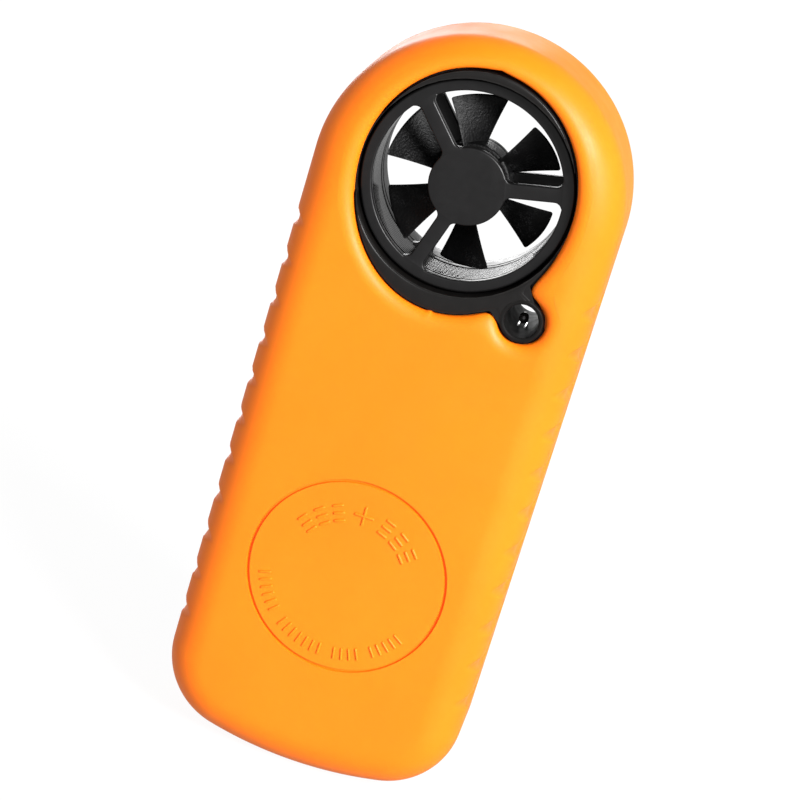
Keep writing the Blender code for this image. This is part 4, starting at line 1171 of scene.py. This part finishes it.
def remap(tree, value, low, high, to_low=0.0, to_high=1.0):
    """Move a value from one range to another, clamped."""
    node = tree.nodes.new("ShaderNodeMapRange")
    for label, number in zip(("From Min", "From Max", "To Min", "To Max"), (low, high, to_low, to_high)):
        node.inputs[label].default_value = number
    tree.links.new(value, node.inputs["Value"])
    return node.outputs["Result"]


def mix(tree, share, first, second):
    """Mix two colours, each a socket or a plain colour."""
    node = tree.nodes.new("ShaderNodeMix")
    node.data_type = "RGBA"
    tree.links.new(share, node.inputs["Factor"])
    for label, colour in (("A", first), ("B", second)):
        socket = next(s for s in node.inputs if s.name == label and s.type == "RGBA")
        if isinstance(colour, tuple):
            socket.default_value = (*colour, 1.0)
        else:
            tree.links.new(colour, socket)
    return next(s for s in node.outputs if s.type == "RGBA")


def operate(tree, operation, first, second):
    """A math node that takes two sockets."""
    node = tree.nodes.new("ShaderNodeMath")
    node.operation = operation
    tree.links.new(first, node.inputs[0])
    tree.links.new(second, node.inputs[1])
    return node.outputs[0]


def make_tone():
    """Mix a light and a dark colour by slow noise."""
    grey = (0.5, 0.5, 0.5, 1.0)
    inputs = {"Light": grey, "Dark": grey, "Scale": 60.0}
    tree, given, made = new_group("tone", inputs, {"Color": "NodeSocketColor"})
    share = remap(tree, noise(tree, given.outputs["Scale"], 4.0), 0.32, 0.68)
    blend = mix(tree, share, given.outputs["Dark"], given.outputs["Light"])
    tree.links.new(blend, made.inputs["Color"])
    return tree


def make_grain():
    """Fine noise as a height."""
    tree, given, made = new_group("grain", {"Scale": 2500.0}, {"Height": "NodeSocketFloat"})
    tree.links.new(noise(tree, given.outputs["Scale"], 5.0), made.inputs["Height"])
    return tree


def make_worn_edges():
    """One less the cosine between the rounded and the true normal, scaled and broken up by noise."""
    tree, given, made = new_group("worn_edges", {"Amount": 1.0}, {"Mask": "NodeSocketFloat"})
    bevel = tree.nodes.new("ShaderNodeBevel")
    bevel.samples = 4
    bevel.inputs["Radius"].default_value = 0.25 * MM
    geometry = tree.nodes.new("ShaderNodeNewGeometry")
    dot = tree.nodes.new("ShaderNodeVectorMath")
    dot.operation = "DOT_PRODUCT"
    tree.links.new(bevel.outputs["Normal"], dot.inputs[0])
    tree.links.new(geometry.outputs["Normal"], dot.inputs[1])
    edge = remap(tree, dot.outputs["Value"], 0.98, 0.8)
    rough = remap(tree, noise(tree, 900.0, 4.0), 0.4, 0.62)
    broken = operate(tree, "MULTIPLY", edge, rough)
    tree.links.new(operate(tree, "MULTIPLY", broken, given.outputs["Amount"]), made.inputs["Mask"])
    return tree


def make_specks_and_glints():
    """Points whose nearest cell centre is close, kept where slow noise is high."""
    tree, given, made = new_group("specks_and_glints", {"Scale": 3000.0, "Size": 0.2}, {"Mask": "NodeSocketFloat"})
    place = tree.nodes.new("ShaderNodeTexCoord")
    cells = tree.nodes.new("ShaderNodeTexVoronoi")
    tree.links.new(place.outputs["Object"], cells.inputs["Vector"])
    tree.links.new(given.outputs["Scale"], cells.inputs["Scale"])
    near = operate(tree, "LESS_THAN", cells.outputs["Distance"], given.outputs["Size"])
    keep = remap(tree, noise(tree, 260.0, 2.0), 0.5, 0.6)
    tree.links.new(operate(tree, "MULTIPLY", near, keep), made.inputs["Mask"])
    return tree


GROUPS = {
    "tone": make_tone(), "grain": make_grain(), "worn_edges": make_worn_edges(), "specks_and_glints": make_specks_and_glints(),
}
print("groups", sorted(GROUPS))

# %% [markdown]
# A finish is put together from those groups: two close colours, a range of roughness, a grain of a given
# size and height, and if wanted worn edges and specks in colours of their own; on the rotor the specks are
# painted glints. Anything that is the same all over, such as the metal share or a clear coat, is set on the
# shader itself.

# %% Finish builder


def use_group(tree, name, **values):
    """Place a shared group with its own values, and return its first output."""
    node = tree.nodes.new("ShaderNodeGroup")
    node.node_tree = GROUPS[name]
    for label, value in values.items():
        node.inputs[label].default_value = (*value, 1.0) if isinstance(value, tuple) else value
    return node.outputs[0]


def new_finish(name, light, dark, rough, grain=None, edge=None, speck_and_glint=None, tone_scale=60.0, **plain):
    """Build a material. rough is (least, most); grain is (scale, height, strength); edge is (colour,
    amount); speck is (colour, scale, size), for real specks or for painted glints."""
    material = bpy.data.materials.new(name)
    material.use_nodes = True
    tree = material.node_tree
    shader = tree.nodes["Principled BSDF"]
    colour = use_group(tree, "tone", Light=light, Dark=dark, Scale=tone_scale)
    if edge:
        colour = mix(tree, use_group(tree, "worn_edges", Amount=edge[1]), colour, edge[0])
    if speck_and_glint:
        mask = use_group(tree, "specks_and_glints", Scale=speck_and_glint[1], Size=speck_and_glint[2])
        colour = mix(tree, mask, colour, speck_and_glint[0])
    tree.links.new(colour, shader.inputs["Base Color"])
    uneven = remap(tree, noise(tree, tone_scale * 6, 4.0), 0.3, 0.7, *rough)
    tree.links.new(uneven, shader.inputs["Roughness"])
    if grain:
        bump = tree.nodes.new("ShaderNodeBump")
        bump.inputs["Distance"].default_value = grain[1]
        bump.inputs["Strength"].default_value = grain[2]
        tree.links.new(use_group(tree, "grain", Scale=grain[0]), bump.inputs["Height"])
        tree.links.new(bump.outputs["Normal"], shader.inputs["Normal"])
    for label, value in plain.items():
        shader.inputs[label.replace("_", " ")].default_value = value
    return material


# %% [markdown]
# The silicone is dyed all through, so light that enters it comes out a little further on and redder: that
# is subsurface scattering. Its surface is satin, with a grain so fine that it only softens highlights. The
# shells are fine-textured black plastic, the duct is polished, and the rotor has a faint sparkle: light
# specks painted into its colour, which stand for glints of its textured surface in the light.

# %% The finishes
silicone = new_finish(
    "orange_silicone", (0.97, 0.200, 0.0045), (0.94, 0.180, 0.0035), (0.42, 0.52),
    grain=(2600.0, 0.00003, 0.25), edge=((0.96, 0.25, 0.02), 0.2), tone_scale=40.0,
    Subsurface_Weight=0.2, Subsurface_Radius=(0.0022, 0.0006, 0.0001), Subsurface_Scale=1.0,
    Specular_IOR_Level=0.26,
)
shell_black = new_finish(
    "shell_black", (0.0050, 0.0043, 0.0040), (0.0036, 0.0031, 0.0029), (0.32, 0.44),
    grain=(3600.0, 0.00003, 0.3), edge=((0.04, 0.037, 0.034), 0.35), tone_scale=120.0,
    Specular_IOR_Level=0.3,
)
guard_black = new_finish(
    "guard_black", (0.0048, 0.0045, 0.0047), (0.0034, 0.0032, 0.0033), (0.34, 0.44),
    grain=(3200.0, 0.00002, 0.3), edge=((0.045, 0.043, 0.043), 0.4), tone_scale=160.0,
    Specular_IOR_Level=0.32,
)
bore_black = new_finish(
    "bore_black", (0.005, 0.0046, 0.0043), (0.0035, 0.0033, 0.0031), (0.55, 0.7),
    grain=(3600.0, 0.00003, 0.3), edge=((0.05, 0.047, 0.045), 0.6), tone_scale=120.0,
    Specular_IOR_Level=0.12,
)
duct_gloss = new_finish(
    "duct_gloss", (0.006, 0.0057, 0.0056), (0.004, 0.0038, 0.0037), (0.07, 0.14),
    grain=(2200.0, 0.00001, 0.12), tone_scale=200.0, Coat_Weight=0.5, Coat_Roughness=0.05,
)
# Painted glints: the rotor's light specks are put into its colour and stand for its textured surface
# catching the light.
rotor_black = new_finish(
    "rotor_black", (0.0018, 0.0018, 0.0019), (0.0010, 0.0010, 0.0011), (0.40, 0.55),
    grain=(3400.0, 0.00012, 0.8), edge=((0.02, 0.02, 0.02), 0.3),
    speck_and_glint=((0.035, 0.035, 0.036), 5200.0, 0.3), tone_scale=200.0, Specular_IOR_Level=0.18,
)
key_black = new_finish(
    "key_black", (0.030, 0.030, 0.032), (0.024, 0.024, 0.026), (0.42, 0.52),
    grain=(3000.0, 0.00003, 0.3), edge=((0.12, 0.12, 0.12), 0.4), tone_scale=150.0,
)
steel = new_finish(
    "steel", (0.70, 0.70, 0.69), (0.58, 0.58, 0.58), (0.18, 0.32),
    grain=(1800.0, 0.00001, 0.3), edge=((0.85, 0.85, 0.84), 0.5), tone_scale=300.0, Metallic=1.0,
)
magnet = new_finish(
    "magnet", (0.22, 0.22, 0.23), (0.15, 0.15, 0.16), (0.38, 0.55),
    grain=(4000.0, 0.00005, 0.5), edge=((0.4, 0.4, 0.4), 0.5), tone_scale=500.0, Metallic=1.0,
)
jewel = new_finish(
    "jewel", (0.55, 0.02, 0.07), (0.38, 0.01, 0.05), (0.05, 0.1), tone_scale=400.0, Coat_Weight=0.6,
    edge=((0.8, 0.2, 0.3), 0.4),
)
clear_window = new_finish(
    "clear_window", (0.96, 0.98, 0.98), (0.94, 0.96, 0.96), (0.03, 0.07), tone_scale=80.0,
    Transmission_Weight=1.0, IOR=1.49,
)
lcd_glass = new_finish(
    "lcd_glass", (0.36, 0.40, 0.31), (0.32, 0.36, 0.28), (0.08, 0.14),
    grain=(5000.0, 0.00001, 0.15), tone_scale=60.0, Coat_Weight=0.5, Coat_Roughness=0.05,
)
lcd_ink = new_finish(
    "lcd_ink", (0.022, 0.026, 0.028), (0.016, 0.02, 0.022), (0.25, 0.35), tone_scale=300.0,
)
white_plastic = new_finish(
    "white_plastic", (0.86, 0.86, 0.83), (0.80, 0.80, 0.77), (0.45, 0.6),
    grain=(2400.0, 0.00003, 0.3), edge=((0.92, 0.92, 0.9), 0.3), tone_scale=100.0,
)
grey_rubber = new_finish(
    "grey_rubber", (0.22, 0.22, 0.23), (0.17, 0.17, 0.18), (0.6, 0.78),
    grain=(3000.0, 0.00004, 0.5), edge=((0.32, 0.32, 0.33), 0.3), tone_scale=250.0,
)
green_board = new_finish(
    "green_board", (0.022, 0.17, 0.07), (0.014, 0.12, 0.045), (0.22, 0.36),
    grain=(1500.0, 0.00003, 0.4), edge=((0.35, 0.33, 0.2), 0.5),
    speck_and_glint=((0.75, 0.62, 0.3), 620.0, 0.16), tone_scale=320.0,
)
sensor_glass = new_finish(
    "sensor_glass", (0.035, 0.03, 0.028), (0.02, 0.018, 0.017), (0.06, 0.12), tone_scale=600.0,
    Coat_Weight=0.8, Coat_Roughness=0.03, grain=(1800.0, 0.00001, 0.2),
)
print("finishes", len(bpy.data.materials))

# %% [markdown]
# ## Putting it together
# Every new piece gets the finish of its slot, rides on a body, and hides the CAD nodes that it stands for.
# The CAD nodes that stay get the finish that belongs to their slot.

# %% New pieces to bodies
FINISHES = {
    "orange_silicone": silicone, "black_shell": shell_black, "black_guard": guard_black,
    "black_gloss": duct_gloss, "rotor_black": rotor_black, "steel": steel, "magnet": magnet,
    "jewel": jewel, "clear_window": clear_window, "lcd_glass": lcd_glass,
    "white_plastic": white_plastic, "grey_rubber": grey_rubber, "key_black": key_black,
    "green_board": green_board, "thermistor": sensor_glass,
}


def settle(obj, body, slot, *nodes, material=None):
    """Give a piece the finish of its slot and its body, and hide the CAD nodes that it stands for."""
    obj.data.materials.clear()
    obj.data.materials.append(material or FINISHES[slot])
    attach(obj, body)
    if nodes:
        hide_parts(*nodes)


settle(sleeve, "body", "orange_silicone", "sleeve")
settle(marks, "body", "orange_silicone")
settle(ledge, "body", "black_shell")
settle(eyelet, "body", "black_shell", material=bore_black)
settle(rear_guard, "body", "black_guard", "rear_guard")
settle(front_guard, "body", "black_guard", "front_guard")
settle(front_moulding, "body", "black_shell", "front_shell")
settle(window, "body", "clear_window", "display_window")
settle(glass, "body", "lcd_glass", "lcd_glass")
settle(segments, "body", "lcd_glass", material=lcd_ink)
settle(mode_cap, "mode_key", "key_black", "mode_button")
settle(set_cap, "set_key", "key_black", "set_button")
settle(duct, "body", "black_gloss", "duct_ring")
settle(rotor, "rotor", "rotor_black", "impeller")
settle(bead, "body", "thermistor", "thermistor_bead")

# %% Carried-over nodes
CARRIED = {
    "black_shell": ("rear_shell", "lcd_frame", "battery_holder", "battery_door", "chip_cover"),
    "steel": (
        "impeller_shaft", "coin_cell", "negative_contact", "positive_contact", "timing_crystal",
        "thermistor_lead_a", "thermistor_lead_b", "mode_switch_body", "set_switch_body",
        "shell_screw_1", "shell_screw_2", "shell_screw_3", "shell_screw_4",
    ),
    "magnet": ("rotor_magnet",),
    "jewel": ("rear_jewel", "front_jewel"),
    "white_plastic": ("backlight_diffuser",),
    "grey_rubber": ("zebra_strip_top", "zebra_strip_bottom", "door_seal"),
    "key_black": ("mode_switch_plunger", "set_switch_plunger", "hall_sensor"),
    "green_board": ("circuit_board",),
}
for slot, names in CARRIED.items():
    for name in names:
        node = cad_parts[name]
        for material_slot in node.material_slots:
            material_slot.material = FINISHES[slot]
print("carried over", sum(len(names) for names in CARRIED.values()))
